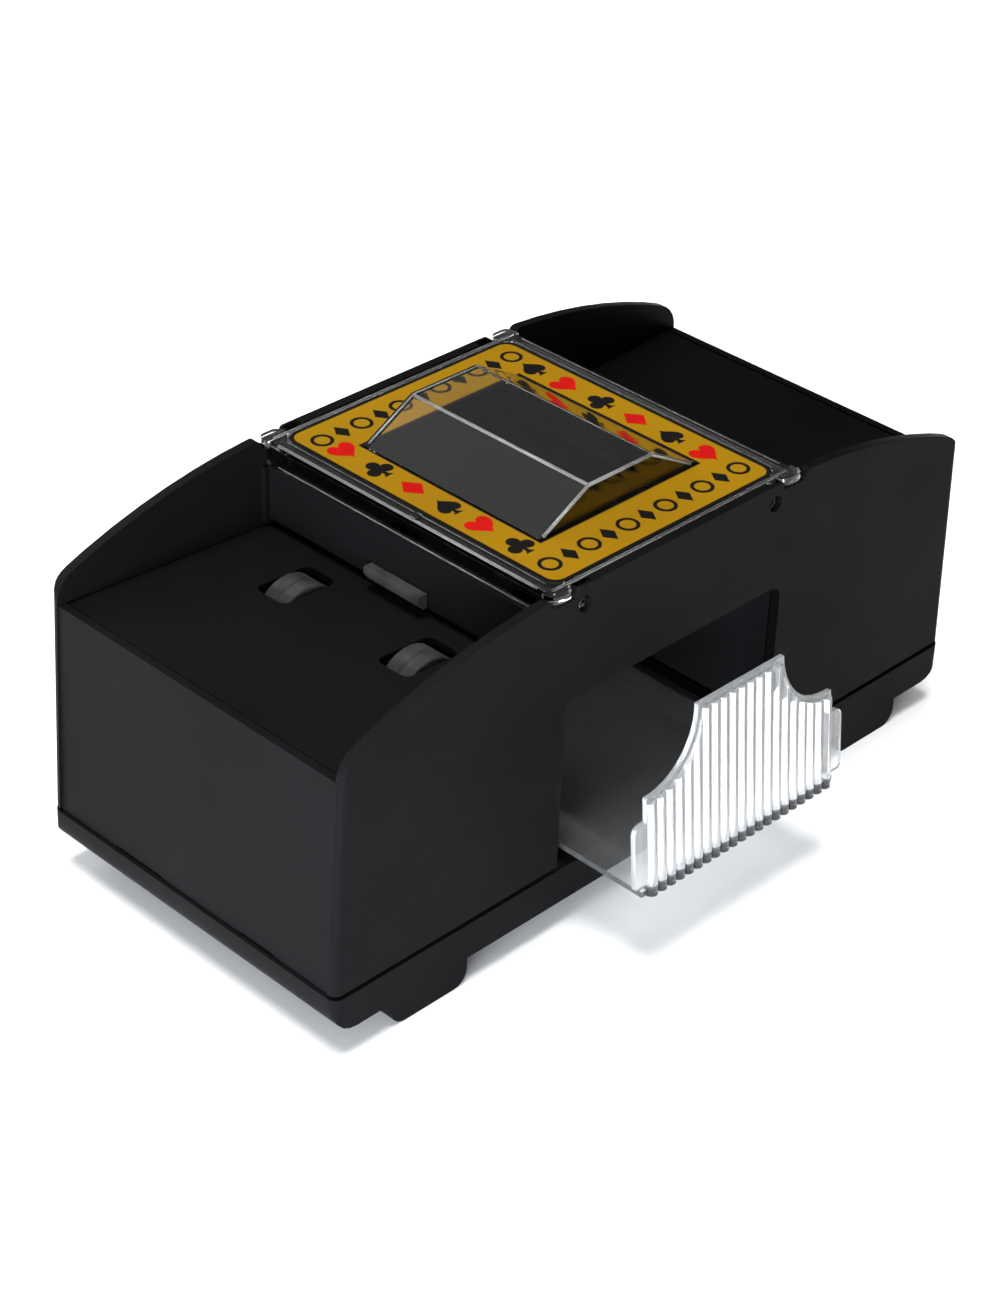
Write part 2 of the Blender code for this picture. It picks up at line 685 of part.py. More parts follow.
def build_roller_set(label, side, spinner, phase):
    centre = (side * DRIVE_X, ROLLER_Z)
    shaft = [(0, -43.5), (1.2, -43.5), (SHAFT_RADIUS, -43.2), (SHAFT_RADIUS, 39.5), (1.2, 39.8), (0, 39.8)]
    part(f"{label}_roller_shaft", lathe(shaft, centre, "Y", 14), STEEL, spinner, smooth=True)
    half = ROLLER_WIDTH / 2
    for where, y in (("front", -ROLLER_Y), ("rear", ROLLER_Y)):
        tread = [(ROLLER_RADIUS - 0.5, y - half), (ROLLER_RADIUS, y - half + 0.5),
                 (ROLLER_RADIUS, y - 0.6), (ROLLER_RADIUS - 0.6, y),
                 (ROLLER_RADIUS, y + 0.6), (ROLLER_RADIUS, y + half - 0.5),
                 (ROLLER_RADIUS - 0.5, y + half), (SHAFT_RADIUS + GAP, y + half),
                 (SHAFT_RADIUS + GAP, y - half)]
        bm = lathe(tread, centre, "Y", 26, closed=True)
        part(f"{label}_roller_{where}", bm, RUBBER, spinner, smooth=True)
    wheel = prism([gear_outline(ROLLER_TEETH, centre, phase), circle(centre, SHAFT_RADIUS + GAP, 14)],
                  SMALL_PLANE[0], SMALL_PLANE[1], "Y")
    part(f"{label}_roller_gear", wheel, WHITE_ACETAL, spinner)


def build_idler_set(label, side, spinner, idler_z, small_phase):
    centre = (side * DRIVE_X, idler_z)
    small = prism([gear_outline(IDLER_SMALL_TEETH, centre, small_phase)],
                  SMALL_PLANE[0], LARGE_PLANE[0] + 0.5, "Y")
    large = prism([gear_outline(IDLER_LARGE_TEETH, centre, 0.0, 2)], LARGE_PLANE[0], LARGE_PLANE[1], "Y")
    part(f"{label}_idler_gear", small, WHITE_ACETAL, spinner, joined=[large],
         cut=[cylinder(1.5, 30, 50, centre, "Y", 14)])
    pin = [(0, 31.7), (2.5, 31.7), (2.5, 32.9), (1.2, 32.9), (1.2, 42.8), (2.2, 42.8), (2.2, 43.6), (0, 43.6)]
    part(f"{label}_idler_pin", lathe(pin, centre, "Y", 14), STEEL, ROOT, smooth=True)


def build_motor_set(label, side, spinner, motor_z, pinion_phase):
    centre = (side * DRIVE_X, motor_z)
    x, z = centre
    can = prism([box_outline(x - 10.2, x + 10.2, z - 7.7, z + 7.7, 6.0, 5)], MOTOR_Y[0], MOTOR_Y[1], "Y")
    boss = cylinder(3.05, MOTOR_Y[1] - 0.5, 34.9, centre)
    tail = cylinder(3.0, MOTOR_Y[0] - 1.6, MOTOR_Y[0] + 0.5, centre)
    bore = cylinder(1.4, 25, 40, centre)
    part(f"{label}_motor", can, STEEL, ROOT, joined=[boss, tail], cut=[bore])
    rod = [(0, 25.6), (1.0, 25.6), (1.0, 43.6), (0.8, 43.9), (0, 43.9)]
    part(f"{label}_motor_shaft", lathe(rod, centre, "Y", 12), STEEL, spinner, smooth=True)
    wheel = prism([gear_outline(PINION_TEETH, centre, pinion_phase), circle(centre, 1.3, 12)],
                  LARGE_PLANE[0] - 0.4, LARGE_PLANE[1] + 0.4, "Y")
    part(f"{label}_motor_pinion", wheel, BRASS, spinner)


def build_drive(label, side):
    idler_z, motor_z, roller_phase, small_phase, pinion_phase = gear_places()
    roller = axis_empty(f"{label}_roller_axis", side * DRIVE_X, 0, ROLLER_Z)
    idler = axis_empty(f"{label}_idler_axis", side * DRIVE_X, 0, idler_z)
    motor = axis_empty(f"{label}_motor_axis", side * DRIVE_X, 0, motor_z)
    build_chassis(label, side, idler_z, motor_z)
    build_roller_set(label, side, roller, roller_phase)
    build_idler_set(label, side, idler, idler_z, small_phase)
    build_motor_set(label, side, motor, motor_z, pinion_phase)


# ---------------------------------------------------------------- cover

def dome_outline():
    """The dome's cross-section, from the label recess up."""
    half = [(DOME_HALF_X, COVER_Z[1] - RECESS), (DOME_HALF_X, COVER_Z[1]), (DOME_TOP_HALF_X, DOME_TOP_Z)]
    return mirrored(half)


def cavity_outline():
    """The hollow under the dome, whose slopes run parallel to it down through the plate."""
    slope = math.atan2(DOME_TOP_Z - COVER_Z[1], DOME_HALF_X - DOME_TOP_HALF_X)
    low_z = COVER_Z[0] - 0.5
    low_x = DOME_HALF_X - DOME_SKIN / math.sin(slope) + (COVER_Z[1] - low_z) / math.tan(slope)
    top_x = DOME_TOP_HALF_X - DOME_SKIN * math.tan(slope / 2)
    return mirrored([(low_x, low_z), (top_x, DOME_TOP_Z - DOME_SKIN)])


def build_cover(lifter):
    plate = block((-COVER_HALF_X, COVER_HALF_X), (-COVER_HALF_Y, COVER_HALF_Y), COVER_Z)
    cover = part("cover", plate, CLEAR, lifter)
    for side in (-1, 1):
        skirt_x = sorted((side * (COVER_HALF_X - 1.4), side * COVER_HALF_X))
        combine(cover, block(skirt_x, (-COVER_HALF_Y, COVER_HALF_Y), (84.6, 89.5)), "UNION")
        for end in (-1, 1):
            for solid in cover_corner(side, end):
                combine(cover, solid, "UNION")
    combine(cover, prism([dome_outline()], -DOME_HALF_Y, DOME_HALF_Y, "Y"), "UNION")
    inner_y = DOME_HALF_Y - DOME_SKIN
    combine(cover, prism([cavity_outline()], -inner_y, inner_y, "Y"), "DIFFERENCE")
    frame = [box_outline(-37.1, 37.1, -44.1, 44.1, 4.2, 4), box_outline(-25.6, 25.6, -28.5, 28.5)]
    combine(cover, prism(frame, COVER_Z[1] - RECESS, 93.0, "Z"), "DIFFERENCE")
    x, y, radius = RIM_STOP
    combine(cover, cylinder(radius, COVER_Z[0] + 0.5, COVER_Z[1] + 0.4, (x, y), "Z"), "UNION")
    set_material(cover, CLEAR)


def cover_corner(side, end):
    """A rounded ear over the wall's notch, a spring leg and the leg's pin."""
    ear = filleted([(34.6, 44.0, 0), (41.1, 44.0, 0), (41.1, 47.8, 2.2), (34.6, 47.8, 2.2)])
    ear_outline = [(side * x, end * y) for x, y in ear]
    x = side * LEG_X
    leg_y = sorted((end * (COVER_HALF_Y - 1.7), end * COVER_HALF_Y))
    pin_y = sorted((end * (COVER_HALF_Y - 0.5), end * (COVER_HALF_Y + 1.6)))
    return [prism([ear_outline], 89.1, 90.95, "Z"),
            block((x - PIN_RADIUS - 0.2, x + PIN_RADIUS + 0.2), leg_y, (82.0, 89.5)),
            cylinder(PIN_RADIUS, pin_y[0], pin_y[1], (x, PIN_Z))]


def build_label(lifter):
    outer = box_outline(-LABEL_HALF_X, LABEL_HALF_X, -LABEL_HALF_Y, LABEL_HALF_Y, 4.0, 4)
    window = box_outline(-DOME_HALF_X - GAP, DOME_HALF_X + GAP, -DOME_HALF_Y - GAP, DOME_HALF_Y + GAP)
    part("label", prism([outer, window], COVER_Z[1] - 0.3, COVER_Z[1] - 0.05, "Z"), GOLD_FOIL, lifter)


# ---------------------------------------------------------------- output tray

def ribbed_outline():
    """Plan of the tray's front: flat inside, half-round ribs outside."""
    outline = [(-31.6, TRAY_SKIN), (-31.6, 0.0)]
    for i in range(RIB_COUNT):
        centre = (i - (RIB_COUNT - 1) / 2) * RIB_PITCH
        outline += arc((centre, 0.0), RIB_RADIUS, 180, 360, 4)
    return outline + [(31.6, 0.0), (31.6, TRAY_SKIN)]


def finger_cutter(side):
    """What is taken from one top corner of the front for a finger."""
    centre = (31.0, TRAY_TOP_Z)
    curve = arc(centre, FINGER_RADIUS, 180, 270, 10)
    outline = [(centre[0] - FINGER_RADIUS, 70.0)] + curve + [(40.0, TRAY_TOP_Z - FINGER_RADIUS), (40.0, 70.0)]
    return prism([[(side * x, z) for x, z in outline]], -10, 10, "Y")


def rim_cutter():
    """What is taken from the ribs' upper ends, so that a plain rim is left along the edge."""
    reach = FINGER_RADIUS + TRAY_RIM
    start = 180 + math.degrees(math.asin(TRAY_RIM / reach))
    half = arc((31.0, TRAY_TOP_Z), reach, start, 270, 10) + [(40.0, TRAY_TOP_Z - reach), (40.0, 70.0)]
    return prism([mirrored(half)], -10, 0.1, "Y")


def tray_flange(side):
    corners = [(31.0, 23.0, 0), (35.5, 23.0, 1.0), (35.5, 39.5, 2.2), (31.0, 39.5, 0)]
    return prism([[(side * x, z) for x, z in filleted(corners, 4)]], 0.0, TRAY_SKIN, "Y")


def build_tray(slider):
    front = part("output_tray", prism([ribbed_outline()], TRAY_FLOOR_Z[0], TRAY_TOP_Z, "Z"), CLEAR, slider)
    for side in (-1, 1):
        combine(front, tray_flange(side), "UNION")
        combine(front, finger_cutter(side), "DIFFERENCE")
    combine(front, rim_cutter(), "DIFFERENCE")
    lean = Matrix.Translation(Vector((0, TRAY_FRONT_Y, TRAY_FLOOR_Z[0])) * MM)
    lean @= Matrix.Rotation(-TRAY_LEAN, 4, "X")
    lean @= Matrix.Translation(Vector((0, 0, -TRAY_FLOOR_Z[0])) * MM)
    front.data.transform(lean)
    floor = block((-TRAY_HALF_X, TRAY_HALF_X), (TRAY_FRONT_Y + 0.6, TRAY_BACK_Y), TRAY_FLOOR_Z)
    combine(front, floor, "UNION")
    ridge = block((-30.0, 30.0), (TRAY_BACK_Y - 2.0, TRAY_BACK_Y - 0.4), (TRAY_FLOOR_Z[1] - 0.3, 22.6))
    combine(front, ridge, "UNION")
    set_material(front, CLEAR)


# ---------------------------------------------------------------- button

def build_button(presser):
    centre = (BUTTON_X, BUTTON_Z)
    cap = [(0, 37.6), (1.2, 37.6), (1.5, 38.0), (1.5, 43.2), (7.5, 43.2), (7.5, 45.0), (BUTTON_RADIUS, 45.0),
           (BUTTON_RADIUS, 49.8), (5.6, 50.5), (4.4, BUTTON_TIP_Y), (0, BUTTON_TIP_Y)]
    part("push_button", lathe(cap, centre, "Y", 24), RED_PLASTIC, presser, smooth=True)
    cup = [(9.4, HOUSING_BACK_Y), (9.4, INNER_Y - 0.4), (8.1, INNER_Y - 0.4), (8.1, HOUSING_BACK_Y + 1.2),
           (2.0, HOUSING_BACK_Y + 1.2), (2.0, HOUSING_BACK_Y)]
    part("button_housing", lathe(cup, centre, "Y", 24, closed=True), DARK_PLASTIC, ROOT, smooth=True)
    helix("button_spring", centre, "Y", 4.6, 0.4, HOUSING_BACK_Y + 2.0, 42.4, 4, STEEL, ROOT)
    body = block((BUTTON_X - 6, BUTTON_X + 6), (26.0, HOUSING_BACK_Y - GAP), (BUTTON_Z - 4, BUTTON_Z + 4))
    legs = [block((BUTTON_X + x - 0.6, BUTTON_X + x + 0.6), (22.5, 26.3), (BUTTON_Z - 0.3, BUTTON_Z + 0.3))
            for x in (-4, 4)]
    part("power_switch", body, DARK_PLASTIC, ROOT, joined=legs)


# ---------------------------------------------------------------- whole

def clear_scene():
    for old in list(bpy.data.objects):
        bpy.data.objects.remove(old)


def main():
    build_body_shell()
    build_base_shell()
    build_case_screws()
    build_tab_screws()
    build_cells()
    build_contacts()
    for label, side in (("left", -1), ("right", 1)):
        build_ramp(label, side)
        build_gate(label, side)
        build_drive(label, side)
    lifter = axis_empty("cover_axis", 0, 0, COVER_Z[0])
    build_cover(lifter)
    build_label(lifter)
    build_tray(axis_empty("tray_axis", 0, TRAY_FRONT_Y, TRAY_FLOOR_Z[0]))
    build_hatch(axis_empty("hatch_axis", HATCH[0], 0, HATCH[3]))
    build_button(axis_empty("button_axis", BUTTON_X, BUTTON_TIP_Y, BUTTON_Z))


clear_scene()
ROOT = link("shuffler_root", None)
ROOT.location = Vector((0, ROOT_SHIFT_Y, 0)) * MM
main()
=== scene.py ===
"""Looks of the two-deck automatic card shuffler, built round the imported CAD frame.

Lengths are in millimetres about the middle of the housing, as in the CAD source. at()
turns them into the frame's metres.
"""

import math

import bmesh
import bpy
from mathutils import Matrix, Vector
from mathutils.geometry import tessellate_polygon


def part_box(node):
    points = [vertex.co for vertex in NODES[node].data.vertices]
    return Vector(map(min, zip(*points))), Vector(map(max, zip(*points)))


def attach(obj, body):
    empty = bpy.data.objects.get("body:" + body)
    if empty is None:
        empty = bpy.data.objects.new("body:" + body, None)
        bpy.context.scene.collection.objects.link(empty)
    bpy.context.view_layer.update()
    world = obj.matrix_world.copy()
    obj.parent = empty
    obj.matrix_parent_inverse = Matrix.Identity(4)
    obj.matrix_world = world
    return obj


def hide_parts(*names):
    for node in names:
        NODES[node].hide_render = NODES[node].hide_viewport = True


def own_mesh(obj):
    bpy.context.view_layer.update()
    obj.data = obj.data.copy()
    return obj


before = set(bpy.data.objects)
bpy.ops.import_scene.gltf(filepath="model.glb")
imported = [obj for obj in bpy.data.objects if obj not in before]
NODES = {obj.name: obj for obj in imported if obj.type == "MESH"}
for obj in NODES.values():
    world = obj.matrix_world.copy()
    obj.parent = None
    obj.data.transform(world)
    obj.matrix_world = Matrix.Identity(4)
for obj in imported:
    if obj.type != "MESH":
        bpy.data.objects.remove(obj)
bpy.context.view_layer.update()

MM = 0.001

# Clean-up of meshes: metres within which points are one, degrees within which faces are flat
WELD_DISTANCE = 2e-6
FLAT_ANGLE = 0.4
FILLET_STEPS = 6

# The housing's own middle in the frame, and the places that the looks are hung on
SHELL_LOW, SHELL_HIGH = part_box("body_shell")
MIDDLE = Vector(((SHELL_LOW.x + SHELL_HIGH.x) / 2, (SHELL_LOW.y + SHELL_HIGH.y) / 2, 0.0))
LABEL_LOW, LABEL_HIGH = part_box("label")

# Camera: angles in degrees
CAMERA_PLACE = (-434.8, -407.6, 427.7)
CAMERA_AZIMUTH = -46.37
CAMERA_ELEVATION = 33.27
CAMERA_ROLL = 2.20
CAMERA_LENS = 82.42
CAMERA_SENSOR = 36.0

# The broad overhead light: where it comes from, its angle in degrees and its strength
KEY_FROM = (-0.12, 0.0, 0.99)
KEY_ANGLE = 28.0
KEY_STRENGTH = 4.3

# Light panels, in the frame's metres: name, place, size, power and colour
PANELS = (
    ("side", (-0.7, -0.33, 0.09), (0.4, 0.14), 15.5, (0.88, 0.94, 1.0)),
    ("back", (-0.15, 1.25, 0.85), (1.5, 0.6), 8.0, (1.0, 1.0, 1.0)),
)
PANELS_AIM = (0.0, 0.0, 0.05)

# The white surroundings, which fall to a lower level in one direction
DIM_TOWARDS = (0.8, 0.25, -0.25)
DIM_START = 0.1
DIM_END = 0.45
FULL_LEVEL = 0.5
DIM_LEVEL = 0.15
FLOOR_SIZE = 16.0

# Label. The depths are measured down from its printed face
LABEL_CORNER = 4.0
BORDER = 1.0
BORDER_GAP = 0.4
FIELD_GAP = 0.9
FIELD_DEPTH = 0.08
MARKS_DEPTH = 0.03
PIP_SIZE = 7.2
PIP_STEP = 11.2
PIP_COLUMN_X = 30.5
LEFT_PIPS = ("heart", "club", "diamond", "spade", "heart", "club")
RIGHT_PIPS = ("spade", "heart", "club", "diamond", "spade", "heart")
LEFT_PIPS_TOP_Y = 29.2
RIGHT_PIPS_TOP_Y = 28.6
ORNAMENT_ROWS = (("front", -36.6), ("back", 36.4))
ORNAMENT_SIDE_COUNT = 5
ORNAMENT_STEP = 6.2
RING_RADII = (2.8, 1.9)
LOZENGE_HALF = (1.9, 2.9)

# Output tray
RIB_COUNT = 21
RIB_PITCH = 3.0
RIB_HALF_WIDTH = 1.38
RIB_DEPTH = 1.15
TRAY_SKIN = 1.3
TRAY_FRONT_Y = -71.5
TRAY_BACK_Y = 19.8
TRAY_FRONT_HALF_X = 31.6
TRAY_FLOOR_HALF_X = 33.0
TRAY_FLOOR_Z = (20.0, 21.5)
TRAY_TOP_Z = 62.0
TRAY_LEAN = math.radians(5.3)
TRAY_RIM = 1.3
FLANGE_X = (31.0, 35.5)
FLANGE_Z = (23.0, 39.5)
FLANGE_RADII = (1.0, 2.2)
FINGER_X = 31.0
FINGER_RADIUS = 16.5
BACK_RIDGE_HALF_X = 30.0
BACK_RIDGE_FROM_BACK = (2.0, 0.4)
BACK_RIDGE_TOP_Z = 22.6
# How far joined shapes run into each other, and how deep the rim is cut into the skin
FLOOR_INSET = 0.6
RIDGE_OVERLAP = 0.3
RIM_BITE = 0.1
# Where the cutters end, past the tray's side, top and front
CUTTER_X = 40.0
CUTTER_Z = 70.0
CUTTER_Y = 10.0

# Button spring
SPRING_WIRE = 0.4
SPRING_TURNS = 4

# Clear cover, with its hip-shaped dome, four legs and pins
COVER_PLATE_Z = (88.9, 90.8)
DOME_HALF_X = 25.5
DOME_HALF_Y = 28.4
DOME_TOP_HALF_X = 10.5
DOME_TOP_Z = 99.0
LEG_X = 31.5
PIN_Z = 86.0

# Painted highlights, pale rods in the clear plate's edges: half length, depth under the plate's
# top, and the place and radius of each. A lower one runs in the left skirt
LINE_HALF_X = 38.6
LINE_HALF_Y = 41.5
LINE_DEPTH = 0.35
LINES_ALONG_X = ((-44.85, 0.16), (-44.3, 0.1), (44.3, 0.1), (44.85, 0.16))
LINES_ALONG_Y = ((-39.8, 0.25), (-37.5, 0.12), (37.5, 0.12), (39.8, 0.2))
SKIRT_LINE = (-39.8, 84.9, 0.15)
PIN_CORE_Y = (45.1, 46.3)
PIN_CORE_SHIFT = 0.5
PIN_CORE_RADIUS = 0.8

# Painted highlights, pale rods in the dome's ridges: how far inside the dome's own corners they run
RIDGE_DEPTH = 0.55
RIDGE_TOP_INSET = 0.2
RIDGE_END_INSET = 0.9
RIDGE_FOOT_INSET = 1.3
RIDGE_RADII = (0.42, 0.2)
END_RIDGE_RADIUS = 0.3

# Dark strips under the plate, painted shade along the rim
RIM_SHADE_X = (36.2, 38.6)
RIM_SHADE_HALF_Y = 42.8
RIM_SHADE_DROP = 0.6
RIM_SHADE_THICK = 0.4

# Battery cells: half the length that the sleeve covers, and the width of its edge
SLEEVE_HALF = 23.0
SLEEVE_EDGE = 0.2

# Clear plastic's own colour
CLEAR_COLOUR = (0.97, 0.98, 0.985)


# ---------------------------------------------------------------- shapes

def at(x, y, z):
    """A place given in millimetres about the housing's middle, in the frame's metres."""
    return Vector((x, y, z)) * MM + MIDDLE


def arc(centre, radius, start_deg, end_deg, steps):
    """Points along an arc, both ends among them."""
    points = []
    for i in range(steps + 1):
        angle = math.radians(start_deg + (end_deg - start_deg) * i / steps)
        points.append((centre[0] + radius * math.cos(angle),
                       centre[1] + radius * math.sin(angle)))
    return points


def circle(centre, radius, steps=32):
    """A closed round outline."""
    return arc(centre, radius, 0, 360, steps)[:-1]


def filleted(corners):
    """An outline from (u, v, radius) corners, each rounded by its radius."""
    outline = []
    count = len(corners)
    for i, (u, v, radius) in enumerate(corners):
        here = Vector((u, v))
        if radius <= 0:
            outline.append((u, v))
            continue
        before = (Vector(corners[i - 1][:2]) - here).normalized()
        after = (Vector(corners[(i + 1) % count][:2]) - here).normalized()
        half = before.angle(after) / 2
        reach = radius / math.tan(half)
        centre = here + (before + after).normalized() * (radius / math.sin(half))
        start = here + before * reach - centre
        turn = start.angle_signed(here + after * reach - centre)
        for k in range(FILLET_STEPS + 1):
            spoke = start.copy()
            spoke.rotate(Matrix.Rotation(-turn * k / FILLET_STEPS, 2))
            outline.append(tuple(centre + spoke))
    return outline


def box_outline(u_low, u_high, v_low, v_high, radius=0.0):
    """A rectangle, with its corners rounded by a radius if one is given."""
    return filleted([(u_low, v_low, radius), (u_high, v_low, radius),
                     (u_high, v_high, radius), (u_low, v_high, radius)])


def prism(loops, low, high, axis="Z"):
    """A closed prism along Y or Z. The first loop is the outline and the others are holes."""
    order = {"Y": lambda u, v, w: at(u, w, v), "Z": lambda u, v, w: at(u, v, w)}[axis]
    bm = bmesh.new()
    ends = []
    for w in (low, high):
        ends.append([[bm.verts.new(order(u, v, w)) for u, v in loop] for loop in loops])
    flat = [[Vector((u, v, 0.0)) for u, v in loop] for loop in loops]
    for end in ends:
        if len(loops) == 1:
            bm.faces.new(end[0])
            continue
        verts = [vert for loop in end for vert in loop]
        for triangle in tessellate_polygon(flat):
            bm.faces.new([verts[i] for i in triangle])
    for low_loop, high_loop in zip(*ends):
        for i in range(len(low_loop)):
            bm.faces.new((low_loop[i - 1], low_loop[i], high_loop[i], high_loop[i - 1]))
    bmesh.ops.recalc_face_normals(bm, faces=bm.faces)
    return bm


def slab(x, y, z):
    """A box from its low and high x, y and z."""
    return prism([box_outline(*x, *y)], *z)


def link(name, data):
    """A new object in the scene."""
    made = bpy.data.objects.new(name, data)
    bpy.context.scene.collection.objects.link(made)
    return made


def mesh_object(name, bm):
    """A new mesh object from bm, which is used up."""
    mesh = bpy.data.meshes.new(name)
    bm.to_mesh(mesh)
    bm.free()
    return link(name, mesh)


def combine(target, bm, operation):
    """Join bm to target, or cut it away, and keep the result as target's own mesh."""
    tool = mesh_object("tool", bm)
    step = target.modifiers.new(operation.lower(), "BOOLEAN")
    step.object = tool
    step.operation = operation
    step.solver = "EXACT"
    evaluated = target.evaluated_get(bpy.context.evaluated_depsgraph_get())
    result = bpy.data.meshes.new_from_object(evaluated)
    target.modifiers.clear()
    target.data = result
    bpy.data.objects.remove(tool)


def smoothing_group():
    """Geometry nodes that weld a mesh and shade it smooth except at its sharp edges."""
    group = bpy.data.node_groups.new("smooth_by_angle", "GeometryNodeTree")
    group.interface.new_socket("Geometry", in_out="INPUT", socket_type="NodeSocketGeometry")
    group.interface.new_socket("Angle", in_out="INPUT", socket_type="NodeSocketFloat")
    group.interface.new_socket("Geometry", in_out="OUTPUT", socket_type="NodeSocketGeometry")
    nodes, links = group.nodes, group.links
    start = nodes.new("NodeGroupInput")
    end = nodes.new("NodeGroupOutput")
    weld = nodes.new("GeometryNodeMergeByDistance")
    weld.inputs["Distance"].default_value = WELD_DISTANCE
    faces = nodes.new("GeometryNodeSetShadeSmooth")
    faces.domain = "FACE"
    faces.inputs["Shade Smooth"].default_value = True
    edges = nodes.new("GeometryNodeSetShadeSmooth")
    edges.domain = "EDGE"
    edges.inputs["Shade Smooth"].default_value = False
    edge_angle = nodes.new("GeometryNodeInputMeshEdgeAngle")
    sharp = nodes.new("FunctionNodeCompare")
    sharp.data_type = "FLOAT"
    sharp.operation = "GREATER_THAN"
    links.new(start.outputs["Geometry"], weld.inputs["Geometry"])
    links.new(weld.outputs["Geometry"], faces.inputs["Geometry"])
    links.new(faces.outputs["Geometry"], edges.inputs["Geometry"])
    links.new(edge_angle.outputs["Unsigned Angle"], sharp.inputs[0])
    links.new(start.outputs["Angle"], sharp.inputs[1])
    links.new(sharp.outputs["Result"], edges.inputs["Selection"])
    links.new(edges.outputs["Geometry"], end.inputs["Geometry"])
    return group


def shade(target, angle_deg=35.0, edge=0.0, bevel_deg=38.0):
    """Round edges sharper than bevel_deg by edge millimetres, then shade smooth up to angle_deg."""
    mesh = target.data
    if "custom_normal" in mesh.attributes:
        mesh.attributes.remove(mesh.attributes["custom_normal"])
    weld = target.modifiers.new("weld", "WELD")
    weld.merge_threshold = WELD_DISTANCE
    flats = target.modifiers.new("flats", "DECIMATE")
    flats.decimate_type = "DISSOLVE"
    flats.angle_limit = math.radians(FLAT_ANGLE)
    if edge:
        bevel = target.modifiers.new("edges", "BEVEL")
        bevel.width = edge * MM
        bevel.segments = 2
        bevel.limit_method = "ANGLE"
        bevel.angle_limit = math.radians(bevel_deg)
    smooth = target.modifiers.new("smooth", "NODES")
    smooth.node_group = SMOOTHING
    smooth[SMOOTHING.interface.items_tree["Angle"].identifier] = math.radians(angle_deg)
    flatten = target.modifiers.new("flat_faces", "WEIGHTED_NORMAL")
    flatten.keep_sharp = True


# ---------------------------------------------------------------- materials

class Look:
    """A Principled material with a few short ways to add procedural detail to it."""

    def __init__(self, name, metallic=0.0):
        self.material = bpy.data.materials.new(name)
        self.material.use_nodes = True
        self.nodes = self.material.node_tree.nodes
        self.links = self.material.node_tree.links
        self.shader = self.nodes["Principled BSDF"]
        self.put("Metallic", metallic)
        self.place = self.nodes.new("ShaderNodeTexCoord").outputs["Object"]
        self.relief = None

    def put(self, socket, value):
        """Set a socket of the shader to one value all over."""
        self.shader.inputs[socket].default_value = value

    def feed(self, socket, value):
        """Let a value made by nodes drive a socket of the shader."""
        self.links.new(value, self.shader.inputs[socket])

    def noise(self, scale, detail=3.0, stretch=(1.0, 1.0, 1.0), rough=0.5):
        """Noise with features of about 1/scale metres, finer by stretch along each axis."""
        mapping = self.nodes.new("ShaderNodeMapping")
        mapping.inputs["Scale"].default_value = stretch
        texture = self.nodes.new("ShaderNodeTexNoise")
        texture.inputs["Scale"].default_value = scale
        texture.inputs["Detail"].default_value = detail
        texture.inputs["Roughness"].default_value = rough
        self.links.new(self.place, mapping.inputs["Vector"])
        self.links.new(mapping.outputs["Vector"], texture.inputs["Vector"])
        return texture.outputs["Fac"]

    def cells(self, scale):
        """The distance to the nearest of many scattered points."""
        texture = self.nodes.new("ShaderNodeTexVoronoi")
        texture.inputs["Scale"].default_value = scale
        self.links.new(self.place, texture.inputs["Vector"])
        return texture.outputs["Distance"]

    def along(self, axis):
        """How far a point is along X, Y or Z, in metres."""
        split = self.nodes.new("ShaderNodeSeparateXYZ")
        self.links.new(self.place, split.inputs["Vector"])
        return split.outputs[axis]

    def work(self, operation, first, second=0.0):
        """The result of an operation on a value and, where it takes two, a value or number."""
        node = self.nodes.new("ShaderNodeMath")
        node.operation = operation
        self.links.new(first, node.inputs[0])
        if isinstance(second, float):
            node.inputs[1].default_value = second
        else:
            self.links.new(second, node.inputs[1])
        return node.outputs["Value"]

    def spread(self, value, low, high, start=0.3, end=0.7):
        """From low to high as value goes from start to end."""
        scaled = self.nodes.new("ShaderNodeMapRange")
        scaled.inputs["From Min"].default_value = start
        scaled.inputs["From Max"].default_value = end
        scaled.inputs["To Min"].default_value = low
        scaled.inputs["To Max"].default_value = high
        self.links.new(value, scaled.inputs["Value"])
        return scaled.outputs["Result"]

    def tint(self, value, dark, light, start=0.3, end=0.7):
        """Base colour from dark to light as value goes from start to end."""
        ramp = self.nodes.new("ShaderNodeValToRGB")
        ramp.color_ramp.elements[0].position = start
        ramp.color_ramp.elements[1].position = end
        ramp.color_ramp.elements[0].color = (*dark, 1.0)
        ramp.color_ramp.elements[1].color = (*light, 1.0)
        self.links.new(value, ramp.inputs["Fac"])
        self.feed("Base Color", ramp.outputs["Color"])

    def rough(self, value, low, high):
        """Roughness from low to high as value goes from 0.3 to 0.7."""
        self.feed("Roughness", self.spread(value, low, high))

    def bump(self, value, depth_mm, strength=1.0):
        """Relief that adds to any relief made before it."""
        node = self.nodes.new("ShaderNodeBump")
        node.inputs["Strength"].default_value = strength
        node.inputs["Distance"].default_value = depth_mm * MM
        self.links.new(value, node.inputs["Height"])
        if self.relief:
            self.links.new(self.relief, node.inputs["Normal"])
        self.relief = node.outputs["Normal"]
        self.feed("Normal", self.relief)


